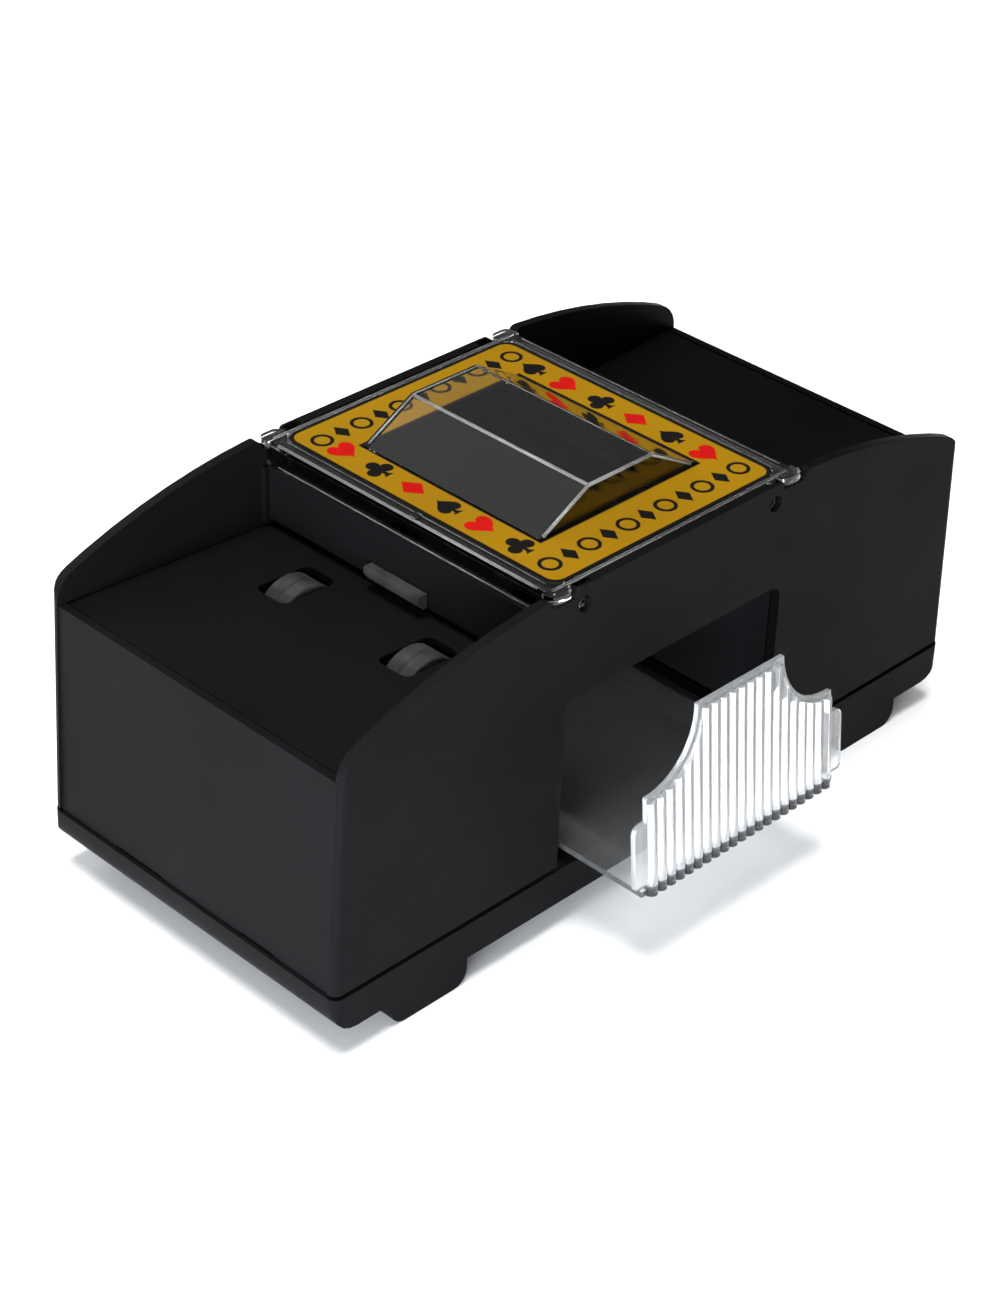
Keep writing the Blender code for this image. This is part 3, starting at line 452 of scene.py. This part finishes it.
def moulded_black():
    """Near-black plastic with a random mottle and painted light: lighter towards the left end,
    darker towards the right.
    """
    look = Look("moulded_black")
    look.put("Specular IOR Level", 0.025)
    # Painted light and shade: lighter towards the left end, where the side light falls, darker
    # towards the right end.
    left_x, right_x = -0.07, 0.09
    painted_light_along_x = look.spread(look.along("X"), 0.85, 0.15, left_x, right_x)
    mottle = look.spread(look.noise(22.0, 4.0), -0.15, 0.15)
    mottle_and_painted_light = look.work("ADD", painted_light_along_x, mottle)
    look.tint(mottle_and_painted_light, (0.0014, 0.0013, 0.0015), (0.0053, 0.0051, 0.0057), 0.0, 1.0)
    look.rough(look.noise(60.0, 5.0, rough=0.7), 0.36, 0.48)
    look.bump(look.noise(2600.0, 2.0), 0.035, 0.35)
    return look.material


def inner_black():
    """Matt near-black plastic of the parts inside."""
    look = Look("inner_black")
    look.put("Specular IOR Level", 0.04)
    look.tint(look.noise(35.0, 4.0), (0.0034, 0.0034, 0.0038), (0.0056, 0.0056, 0.0062))
    look.rough(look.noise(90.0, 4.0), 0.48, 0.62)
    look.bump(look.noise(1800.0, 2.0), 0.03, 0.3)
    return look.material


def clear_look(name):
    """Polished clear plastic."""
    look = Look(name)
    look.put("Base Color", (*CLEAR_COLOUR, 1.0))
    look.put("Transmission Weight", 1.0)
    look.put("IOR", 1.5)
    look.rough(look.noise(45.0, 4.0, rough=0.7), 0.01, 0.05)
    look.bump(look.noise(30.0, 2.0), 0.05, 0.12)
    return look


def tray_styrene():
    """Clear plastic that is a little milky in the ribs, with painted shade that darkens the ribs'
    feet at the front.
    """
    look = clear_look("tray_styrene")
    # Painted shade: a dark tint on the ribs' feet at the front, where they meet the floor.
    foot = (TRAY_FLOOR_Z[1] + 0.4) * MM
    front = MIDDLE.y + (TRAY_FRONT_Y + 0.3) * MM
    height = look.along("Z")
    low = look.spread(height, 1.0, 0.0, foot, foot + 0.001)
    ahead = look.spread(look.along("Y"), 1.0, 0.0, front, front + 0.0005)
    painted_shade_at_foot = look.work("MULTIPLY", low, ahead)
    look.tint(painted_shade_at_foot, CLEAR_COLOUR, (0.2, 0.21, 0.27), 0.0, 1.0)
    look.feed("Transmission Weight", look.spread(height, 0.97, 0.9, foot, foot + 0.001))
    return look.material


def painted_highlight_look():
    """Painted highlight: the light that a thick moulded edge of clear plastic gathers, shown as
    pale rods.
    """
    look = Look("painted_highlight_look")
    look.put("Transmission Weight", 0.35)
    look.tint(look.noise(90.0, 3.0), (0.34, 0.34, 0.32), (0.5, 0.5, 0.49))
    look.rough(look.noise(200.0, 3.0), 0.28, 0.42)
    return look.material


def gold_foil():
    """Satin gold foil with a faint grain."""
    look = Look("gold_foil")
    look.put("Specular IOR Level", 0.06)
    look.tint(look.noise(30.0, 5.0), (0.21, 0.11, 0.0012), (0.238, 0.125, 0.0017))
    look.rough(look.noise(160.0, 4.0), 0.34, 0.5)
    look.bump(look.noise(900.0, 3.0), 0.012, 0.4)
    return look.material


def ink(name, colour):
    """Printing ink, a little uneven."""
    look = Look(name)
    look.put("Specular IOR Level", 0.06)
    darker = tuple(0.8 * part for part in colour)
    look.tint(look.noise(240.0, 3.0), darker, colour)
    look.rough(look.noise(400.0, 3.0), 0.3, 0.46)
    return look.material


def feed_rubber():
    """Matt black rubber with a fine grain."""
    look = Look("feed_rubber")
    look.tint(look.noise(180.0, 5.0), (0.012, 0.012, 0.012), (0.032, 0.031, 0.03))
    look.put("Specular IOR Level", 0.15)
    look.rough(look.noise(240.0, 4.0), 0.68, 0.92)
    look.bump(look.cells(1500.0), 0.05, 0.5)
    return look.material


def turned_steel(name, colour=(0.6, 0.6, 0.61), grain=(1.0, 40.0, 1.0)):
    """Bare metal with fine marks that lie across the axis with the largest grain value."""
    look = Look(name, 1.0)
    darker = tuple(0.82 * part for part in colour)
    look.tint(look.noise(60.0, 4.0), darker, colour)
    look.rough(look.noise(500.0, 3.0, stretch=grain), 0.18, 0.36)
    look.bump(look.noise(900.0, 3.0, stretch=grain), 0.006, 0.4)
    return look.material


def nickel_plate():
    """Bright plating of the contacts and springs."""
    look = Look("nickel_plate", 1.0)
    look.tint(look.noise(90.0, 4.0), (0.58, 0.56, 0.52), (0.72, 0.7, 0.66))
    look.rough(look.noise(300.0, 4.0), 0.12, 0.28)
    return look.material


def brass():
    """Turned brass of the pinions."""
    look = Look("turned_brass", 1.0)
    look.tint(look.noise(120.0, 4.0), (0.55, 0.37, 0.13), (0.7, 0.5, 0.21))
    look.rough(look.noise(400.0, 4.0), 0.2, 0.38)
    return look.material


def acetal():
    """Off-white plastic of the gears, which lets a little light in."""
    look = Look("acetal")
    look.put("Subsurface Weight", 0.08)
    look.tint(look.noise(150.0, 4.0), (0.72, 0.7, 0.63), (0.83, 0.81, 0.76))
    look.rough(look.noise(220.0, 4.0), 0.32, 0.48)
    look.bump(look.noise(1600.0, 2.0), 0.01, 0.3)
    return look.material


def red_plastic():
    """Glossy red plastic of the button."""
    look = Look("red_plastic")
    look.tint(look.noise(110.0, 4.0), (0.36, 0.016, 0.014), (0.46, 0.024, 0.021))
    look.rough(look.noise(160.0, 4.0), 0.24, 0.38)
    return look.material


def cell_sleeve():
    """A dark shrink sleeve with bare steel beyond it at both ends of the cell."""
    look = Look("cell_sleeve")
    away = look.work("SUBTRACT", look.along("Y"), MIDDLE.y)
    distance = look.work("ABSOLUTE", away)
    edge = (SLEEVE_HALF * MM, (SLEEVE_HALF + SLEEVE_EDGE) * MM)
    look.tint(distance, (0.05, 0.055, 0.07), (0.6, 0.6, 0.6), *edge)
    look.feed("Metallic", look.spread(distance, 0.0, 1.0, *edge))
    look.rough(look.noise(200.0, 4.0), 0.22, 0.36)
    return look.material


def floor_white():
    """Plain matt white."""
    look = Look("floor_white")
    look.put("Roughness", 0.7)
    look.put("Specular IOR Level", 0.1)
    look.tint(look.noise(3.0, 2.0), (0.75, 0.75, 0.75), (0.77, 0.77, 0.77))
    return look.material


SMOOTHING = smoothing_group()
BLACK = moulded_black()
INNER = inner_black()
CLEAR = clear_look("clear_styrene").material
TRAY_CLEAR = tray_styrene()
PAINTED_HIGHLIGHT = painted_highlight_look()
GOLD = gold_foil()
BLACK_INK = ink("black_ink", (0.005, 0.0045, 0.004))
RED_INK = ink("red_ink", (0.38, 0.004, 0.003))
RUBBER = feed_rubber()
STEEL = turned_steel("turned_steel")
ZINC = turned_steel("zinc_plate", (0.5, 0.5, 0.5), (1.0, 1.0, 20.0))
MOTOR_STEEL = turned_steel("motor_steel", (0.56, 0.57, 0.58), (1.0, 0.1, 1.0))
NICKEL = nickel_plate()
BRASS = brass()
ACETAL = acetal()
RED = red_plastic()
SLEEVE = cell_sleeve()


# ---------------------------------------------------------------- CAD nodes that stay

def dress(names, material, angle_deg=35.0, edge=0.0, bevel_deg=38.0):
    """Give CAD nodes their material, soft edges and smooth shading."""
    for name in names:
        node = NODES[name]
        node.data.materials.clear()
        node.data.materials.append(material)
        shade(node, angle_deg, edge, bevel_deg)


def both_sides(*names):
    """The names of these parts on the left and on the right."""
    return [f"{side}_{name}" for side in ("left", "right") for name in names]


def numbered(stem):
    """The names of the four pieces of a kind."""
    return [f"{stem}_{i}" for i in range(1, 5)]


def dress_nodes():
    """Materials, soft edges and shading of every CAD node."""
    dress(["body_shell"], BLACK, 50.0)
    dress(["base_shell", "battery_hatch"], BLACK, 40.0, 0.3)
    dress(both_sides("platform", "gate"), BLACK, 40.0, 0.3)
    dress(["button_housing", "power_switch", *both_sides("chassis")], INNER)
    dress(["cover"], CLEAR, 20.0, 0.3, 22.0)
    dress(both_sides("roller_front", "roller_rear", "retard_pad"), RUBBER, 50.0)
    dress(both_sides("roller_shaft", "idler_pin", "motor_shaft"), STEEL, 50.0)
    dress([*numbered("case_screw"), *numbered("chassis_screw")], ZINC, 50.0)
    dress(both_sides("roller_gear", "idler_gear"), ACETAL, 25.0)
    dress(both_sides("motor_pinion"), BRASS, 25.0)
    dress(both_sides("motor"), MOTOR_STEEL, 45.0)
    dress(numbered("battery_cell"), SLEEVE, 40.0)
    dress(["push_button"], RED, 50.0)
    contacts = ["contact_front_outer", "contact_front_inner", "contact_rear_outer",
                "contact_rear_bridge", "contact_rear_inner"]
    dress([*contacts, *numbered("battery_spring"), "button_spring"], NICKEL, 50.0)


# ---------------------------------------------------------------- label

def heart(size, flip=1):
    """A heart outline size tall about its middle; flip = -1 stands it on its lobes."""
    points = []
    steps = 36
    curve_width, curve_height, curve_drop = 32.5, 29.0, 2.5
    for i in range(steps):
        t = math.tau * i / steps
        x = 16 * math.sin(t) ** 3
        y = 13 * math.cos(t) - 5 * math.cos(2 * t) - 2 * math.cos(3 * t) - math.cos(4 * t)
        points.append((x * size / curve_width, flip * (y + curve_drop) * size / curve_height))
    return points


def stem(size):
    """The foot of a club or a spade, for a mark of this size."""
    half = 0.055 * size
    foot = 0.19 * size
    low = -0.5 * size
    return [(-foot, low), (foot, low), (half * 1.4, low + 0.12 * size), (half, 0.0), (-half, 0.0),
            (-half * 1.4, low + 0.12 * size)]


def pip_outlines(kind, size):
    """One or more outlines that together make a suit mark."""
    if kind == "heart":
        return [heart(size)]
    if kind == "diamond":
        return [[(0, -0.52 * size), (0.4 * size, 0), (0, 0.52 * size), (-0.4 * size, 0)]]
    if kind == "spade":
        raised = [(x, y + 0.1 * size) for x, y in heart(0.84 * size, -1)]
        return [raised, stem(size)]
    lobes = [(0, 0.27 * size), (-0.26 * size, -0.08 * size), (0.26 * size, -0.08 * size)]
    core = circle((0, 0.04 * size), 0.14 * size, 16)
    return [circle(centre, 0.235 * size, 20) for centre in lobes] + [core, stem(size)]


def printed(name, outlines, low, high, material):
    """Flat ink shapes on the label, joined into one solid."""
    shape = mesh_object(name, prism([outlines[0]], low, high))
    for outline in outlines[1:]:
        combine(shape, prism([outline], low, high), "UNION")
    shape.data.materials.clear()
    shape.data.materials.append(material)
    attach(shape, "cover")


def around_dome(gap):
    """The outline of the dome's foot, wider by a gap all round."""
    return box_outline(-DOME_HALF_X - gap, DOME_HALF_X + gap, -DOME_HALF_Y - gap, DOME_HALF_Y + gap)


def build_label():
    """A black sheet with a gold field on it, and the marks on that."""
    low = LABEL_LOW.z / MM
    high = LABEL_HIGH.z / MM
    half_x = (LABEL_HIGH.x - LABEL_LOW.x) / 2 / MM
    half_y = (LABEL_HIGH.y - LABEL_LOW.y) / 2 / MM
    outer = box_outline(-half_x, half_x, -half_y, half_y, LABEL_CORNER)
    field_low, marks_low = high - FIELD_DEPTH, high - MARKS_DEPTH
    border = mesh_object("label_border", prism([outer, around_dome(BORDER_GAP)], low, field_low))
    border.data.materials.append(BLACK_INK)
    inner = box_outline(-half_x + BORDER, half_x - BORDER, -half_y + BORDER, half_y - BORDER,
                        LABEL_CORNER - BORDER)
    gold = prism([inner, around_dome(FIELD_GAP)], field_low, marks_low)
    field = mesh_object("label_field", gold)
    field.data.materials.append(GOLD)
    for piece in (border, field):
        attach(piece, "cover")
    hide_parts("label")
    build_pips(marks_low, high)
    build_ornament(marks_low, high)


def build_pips(low, high):
    """A column of suit marks down each side of the label."""
    columns = ((-PIP_COLUMN_X, LEFT_PIPS_TOP_Y, LEFT_PIPS, "left"),
               (PIP_COLUMN_X, RIGHT_PIPS_TOP_Y, RIGHT_PIPS, "right"))
    for x, top_y, kinds, side in columns:
        for i, kind in enumerate(kinds):
            y = top_y - PIP_STEP * i
            outlines = [[(x + u, y + v) for u, v in outline]
                        for outline in pip_outlines(kind, PIP_SIZE)]
            colour = RED_INK if kind in ("heart", "diamond") else BLACK_INK
            printed(f"pip_{side}_{i + 1}_{kind}", outlines, low, high, colour)


def build_ornament(low, high):
    """A plain chain of rings and lozenges along the label's front and back edges."""
    for edge, y in ORNAMENT_ROWS:
        for i in range(-ORNAMENT_SIDE_COUNT, ORNAMENT_SIDE_COUNT + 1):
            x = i * ORNAMENT_STEP
            name = f"ornament_{edge}_{i + ORNAMENT_SIDE_COUNT + 1}"
            if i % 2 == 0:
                half_x, half_y = LOZENGE_HALF
                lozenge = [(x + half_x, y), (x, y + half_y), (x - half_x, y), (x, y - half_y)]
                printed(name, [lozenge], low, high, BLACK_INK)
                continue
            loops = [circle((x, y), radius) for radius in RING_RADII]
            ring = mesh_object(name, prism(loops, low, high))
            ring.data.materials.append(BLACK_INK)
            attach(ring, "cover")


# ---------------------------------------------------------------- cover details

def rod(bm, start, end, radius):
    """A thin round rod between two places, added to bm."""
    along = end - start
    turn = along.to_track_quat("Z", "Y").to_matrix().to_4x4()
    bmesh.ops.create_cone(bm, cap_ends=True, segments=8, radius1=radius * MM, radius2=radius * MM,
                          depth=along.length, matrix=Matrix.Translation((start + end) / 2) @ turn)


def build_painted_edge_highlights():
    """Painted highlights: pale rods inside the clear plate's edges, and pale cores in the four
    pins' ends.
    """
    bm = bmesh.new()
    high = COVER_PLATE_Z[1] - LINE_DEPTH
    for y, radius in LINES_ALONG_X:
        rod(bm, at(-LINE_HALF_X, y, high), at(LINE_HALF_X, y, high), radius)
    for x, z, radius in [SKIRT_LINE] + [(x, high, radius) for x, radius in LINES_ALONG_Y]:
        rod(bm, at(x, -LINE_HALF_Y, z), at(x, LINE_HALF_Y, z), radius)
    for leg_x in (-LEG_X, LEG_X):
        for end in (-1, 1):
            inner, outer = (at(leg_x - PIN_CORE_SHIFT, end * y, PIN_Z) for y in PIN_CORE_Y)
            rod(bm, inner, outer, PIN_CORE_RADIUS)
    lines = mesh_object("cover_painted_highlights", bm)
    lines.data.materials.append(PAINTED_HIGHLIGHT)
    lines.data.shade_smooth()
    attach(lines, "cover")


def build_dome_highlights():
    """Painted highlights: pale rods inside the clear wall, along the dome's ridges and its two
    ends.
    """
    bm = bmesh.new()
    top_x, top_z = DOME_TOP_HALF_X - RIDGE_TOP_INSET, DOME_TOP_Z - RIDGE_DEPTH
    foot_x, foot_z = DOME_HALF_X - RIDGE_FOOT_INSET, COVER_PLATE_Z[1]
    half_y = DOME_HALF_Y - RIDGE_END_INSET
    for x, radius in zip((-top_x, top_x), RIDGE_RADII):
        rod(bm, at(x, -half_y, top_z), at(x, half_y, top_z), radius)
    for y in (RIDGE_DEPTH - DOME_HALF_Y, DOME_HALF_Y - RIDGE_DEPTH):
        path = [at(-foot_x, y, foot_z), at(-top_x, y, top_z), at(top_x, y, top_z),
                at(foot_x, y, foot_z)]
        for start, stop in zip(path, path[1:]):
            rod(bm, start, stop, END_RIDGE_RADIUS)
    ridges = mesh_object("dome_painted_highlights", bm)
    ridges.data.materials.append(PAINTED_HIGHLIGHT)
    ridges.data.shade_smooth()
    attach(ridges, "cover")


def build_rim_shade():
    """Black strips under the clear plate, outside the label, that hide the legs' roots and paint
    shade along the rim.
    """
    low_z = COVER_PLATE_Z[0] - RIM_SHADE_DROP
    for side, name in ((-1, "left"), (1, "right")):
        x = sorted(side * edge for edge in RIM_SHADE_X)
        shape = slab(x, (-RIM_SHADE_HALF_Y, RIM_SHADE_HALF_Y), (low_z, low_z + RIM_SHADE_THICK))
        strip = mesh_object(f"rim_shade_{name}", shape)
        strip.data.materials.append(INNER)
        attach(strip, "cover")


# ---------------------------------------------------------------- output tray

def ribbed_outline():
    """The tray's front seen from above: flat behind, a row of round ribs in front."""
    outline = [(-TRAY_FRONT_HALF_X, TRAY_SKIN), (-TRAY_FRONT_HALF_X, 0.0)]
    for i in range(RIB_COUNT):
        centre = (i - (RIB_COUNT - 1) / 2) * RIB_PITCH
        round_front = arc((0.0, 0.0), 1.0, 180, 360, 14)
        outline += [(centre + RIB_HALF_WIDTH * u, RIB_DEPTH * v) for u, v in round_front]
    return outline + [(TRAY_FRONT_HALF_X, 0.0), (TRAY_FRONT_HALF_X, TRAY_SKIN)]


def finger_cutter(side):
    """What is taken from an upper corner of the front to make room for a finger."""
    outline = arc((FINGER_X, TRAY_TOP_Z), FINGER_RADIUS, 180, 270, 20)
    outline += [(CUTTER_X, TRAY_TOP_Z - FINGER_RADIUS), (CUTTER_X, CUTTER_Z),
                (FINGER_X - FINGER_RADIUS, CUTTER_Z)]
    return prism([[(side * x, z) for x, z in outline]], -CUTTER_Y, CUTTER_Y, "Y")


def rim_cutter():
    """What is taken from the ribs' upper ends, so that a plain rim is left along the edge."""
    reach = FINGER_RADIUS + TRAY_RIM
    start = 180 + math.degrees(math.asin(TRAY_RIM / reach))
    half = arc((FINGER_X, TRAY_TOP_Z), reach, start, 270, 20)
    half += [(CUTTER_X, TRAY_TOP_Z - reach), (CUTTER_X, CUTTER_Z)]
    return prism([half + [(-u, v) for u, v in reversed(half)]], -CUTTER_Y, RIM_BITE, "Y")


def tray_flange(side):
    """The plain flap beside the ribs, as thick as the front without them."""
    inner_x, outer_x = FLANGE_X
    low_z, high_z = FLANGE_Z
    low_radius, high_radius = FLANGE_RADII
    corners = [(inner_x, low_z, 0), (outer_x, low_z, low_radius), (outer_x, high_z, high_radius),
               (inner_x, high_z, 0)]
    return prism([[(side * x, z) for x, z in filleted(corners)]], 0.0, TRAY_SKIN, "Y")


def build_tray():
    """The front is made upright and leant back about its foot, and the floor is joined to it."""
    tray = mesh_object("tray_clear", prism([ribbed_outline()], TRAY_FLOOR_Z[0], TRAY_TOP_Z))
    for side in (-1, 1):
        combine(tray, tray_flange(side), "UNION")
        combine(tray, finger_cutter(side), "DIFFERENCE")
    combine(tray, rim_cutter(), "DIFFERENCE")
    lean = Matrix.Translation(at(0, TRAY_FRONT_Y, TRAY_FLOOR_Z[0]))
    lean @= Matrix.Rotation(-TRAY_LEAN, 4, "X")
    lean @= Matrix.Translation(-at(0, 0, TRAY_FLOOR_Z[0]))
    tray.data.transform(lean)
    floor = slab((-TRAY_FLOOR_HALF_X, TRAY_FLOOR_HALF_X), (TRAY_FRONT_Y + FLOOR_INSET, TRAY_BACK_Y),
                 TRAY_FLOOR_Z)
    combine(tray, floor, "UNION")
    ridge = slab((-BACK_RIDGE_HALF_X, BACK_RIDGE_HALF_X),
                 [TRAY_BACK_Y - inward for inward in BACK_RIDGE_FROM_BACK],
                 (TRAY_FLOOR_Z[1] - RIDGE_OVERLAP, BACK_RIDGE_TOP_Z))
    combine(tray, ridge, "UNION")
    tray.data.materials.clear()
    tray.data.materials.append(TRAY_CLEAR)
    shade(tray, 40.0)
    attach(tray, "output_tray")
    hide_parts("output_tray")


# ---------------------------------------------------------------- button spring

def coil(low, high, turns, wire):
    """A helical wire along Y that fills the box from low to high, in metres."""
    bm = bmesh.new()
    middle = (low + high) / 2
    radius = (high.x - low.x) / 2 - wire
    rise = high.y - low.y - 2 * wire
    steps_per_turn, sides = 28, 10
    steps = turns * steps_per_turn
    rings = []
    for i in range(steps + 1):
        angle = math.tau * turns * i / steps
        outward = Vector((math.cos(angle), 0.0, math.sin(angle)))
        place = Vector((middle.x, low.y + wire + rise * i / steps, middle.z)) + radius * outward
        along = Vector((-math.sin(angle), rise / (math.tau * turns * radius), math.cos(angle)))
        across = along.normalized().cross(outward)
        spokes = [math.tau * k / sides for k in range(sides)]
        rings.append([bm.verts.new(place + wire * (math.cos(t) * outward + math.sin(t) * across))
                      for t in spokes])
    for ring, following in zip(rings, rings[1:]):
        for k in range(sides):
            bm.faces.new((ring[k - 1], ring[k], following[k], following[k - 1]))
    bm.faces.new(rings[0])
    bm.faces.new(rings[-1])
    bmesh.ops.recalc_face_normals(bm, faces=bm.faces)
    return bm


def build_button_spring():
    """The coil spring behind the button."""
    low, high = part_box("button_spring")
    spring = mesh_object("button_coil", coil(low, high, SPRING_TURNS, SPRING_WIRE * MM))
    spring.data.materials.append(NICKEL)
    spring.data.shade_smooth()
    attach(spring, "housing")
    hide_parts("button_spring")
    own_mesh(spring)


# ---------------------------------------------------------------- stage

def build_floor():
    """A plain pale floor, wide enough to fill the view."""
    bpy.ops.mesh.primitive_plane_add(size=FLOOR_SIZE, location=(0, 0, 0))
    floor = bpy.context.object
    floor.name = "floor"
    floor.data.materials.append(floor_white())


def light_panel(name, place, size, power, colour):
    """A rectangular light panel that faces the object."""
    data = bpy.data.lights.new(name, "AREA")
    data.color = colour
    data.shape = "RECTANGLE"
    data.size, data.size_y = size
    data.energy = power
    lamp = link(name, data)
    lamp.location = place
    ahead = Vector(PANELS_AIM) - Vector(place)
    lamp.rotation_euler = ahead.to_track_quat("-Z", "Y").to_euler()


def build_world():
    """White all round, but dimmer low down on the right, as in a small studio."""
    world = bpy.data.worlds.new("studio")
    world.use_nodes = True
    nodes, links = world.node_tree.nodes, world.node_tree.links
    direction = nodes.new("ShaderNodeTexCoord")
    towards = nodes.new("ShaderNodeVectorMath")
    towards.operation = "DOT_PRODUCT"
    towards.inputs[1].default_value = DIM_TOWARDS
    level = nodes.new("ShaderNodeMapRange")
    level.inputs["From Min"].default_value = DIM_START
    level.inputs["From Max"].default_value = DIM_END
    level.inputs["To Min"].default_value = FULL_LEVEL
    level.inputs["To Max"].default_value = DIM_LEVEL
    links.new(direction.outputs["Generated"], towards.inputs[0])
    links.new(towards.outputs["Value"], level.inputs["Value"])
    links.new(level.outputs["Result"], nodes["Background"].inputs["Strength"])
    nodes["Background"].inputs["Color"].default_value = (1.0, 1.0, 1.0, 1.0)
    bpy.context.scene.world = world


def build_lights():
    """The overhead light and the panels, with colours shown as they are."""
    key = bpy.data.lights.new("key", "SUN")
    key.angle = math.radians(KEY_ANGLE)
    key.energy = KEY_STRENGTH
    lamp = link("key", key)
    lamp.rotation_euler = Vector(KEY_FROM).to_track_quat("Z", "Y").to_euler()
    for panel in PANELS:
        light_panel(*panel)
    bpy.context.scene.view_settings.view_transform = "Standard"


def build_camera():
    """A long lens that looks down on the left end and the front."""
    azimuth = math.radians(CAMERA_AZIMUTH)
    elevation = math.radians(CAMERA_ELEVATION)
    level = Vector((math.sin(azimuth), -math.cos(azimuth), 0.0))
    back = math.cos(elevation) * level + Vector((0.0, 0.0, math.sin(elevation)))
    right = Vector((0, 0, 1)).cross(back).normalized()
    up = back.cross(right)
    roll = Matrix.Rotation(math.radians(CAMERA_ROLL), 3, "Z")
    facing = Matrix((right, up, back)).transposed() @ roll
    data = bpy.data.cameras.new("camera")
    data.lens = CAMERA_LENS
    data.sensor_width = CAMERA_SENSOR
    data.dof.use_dof = False
    camera = link("camera", data)
    camera.matrix_world = Matrix.Translation(at(*CAMERA_PLACE)) @ facing.to_4x4()
    bpy.context.scene.camera = camera


build_camera()
build_floor()
build_world()
build_lights()
dress_nodes()
build_label()
build_dome_highlights()
build_painted_edge_highlights()
build_rim_shade()
build_tray()
build_button_spring()
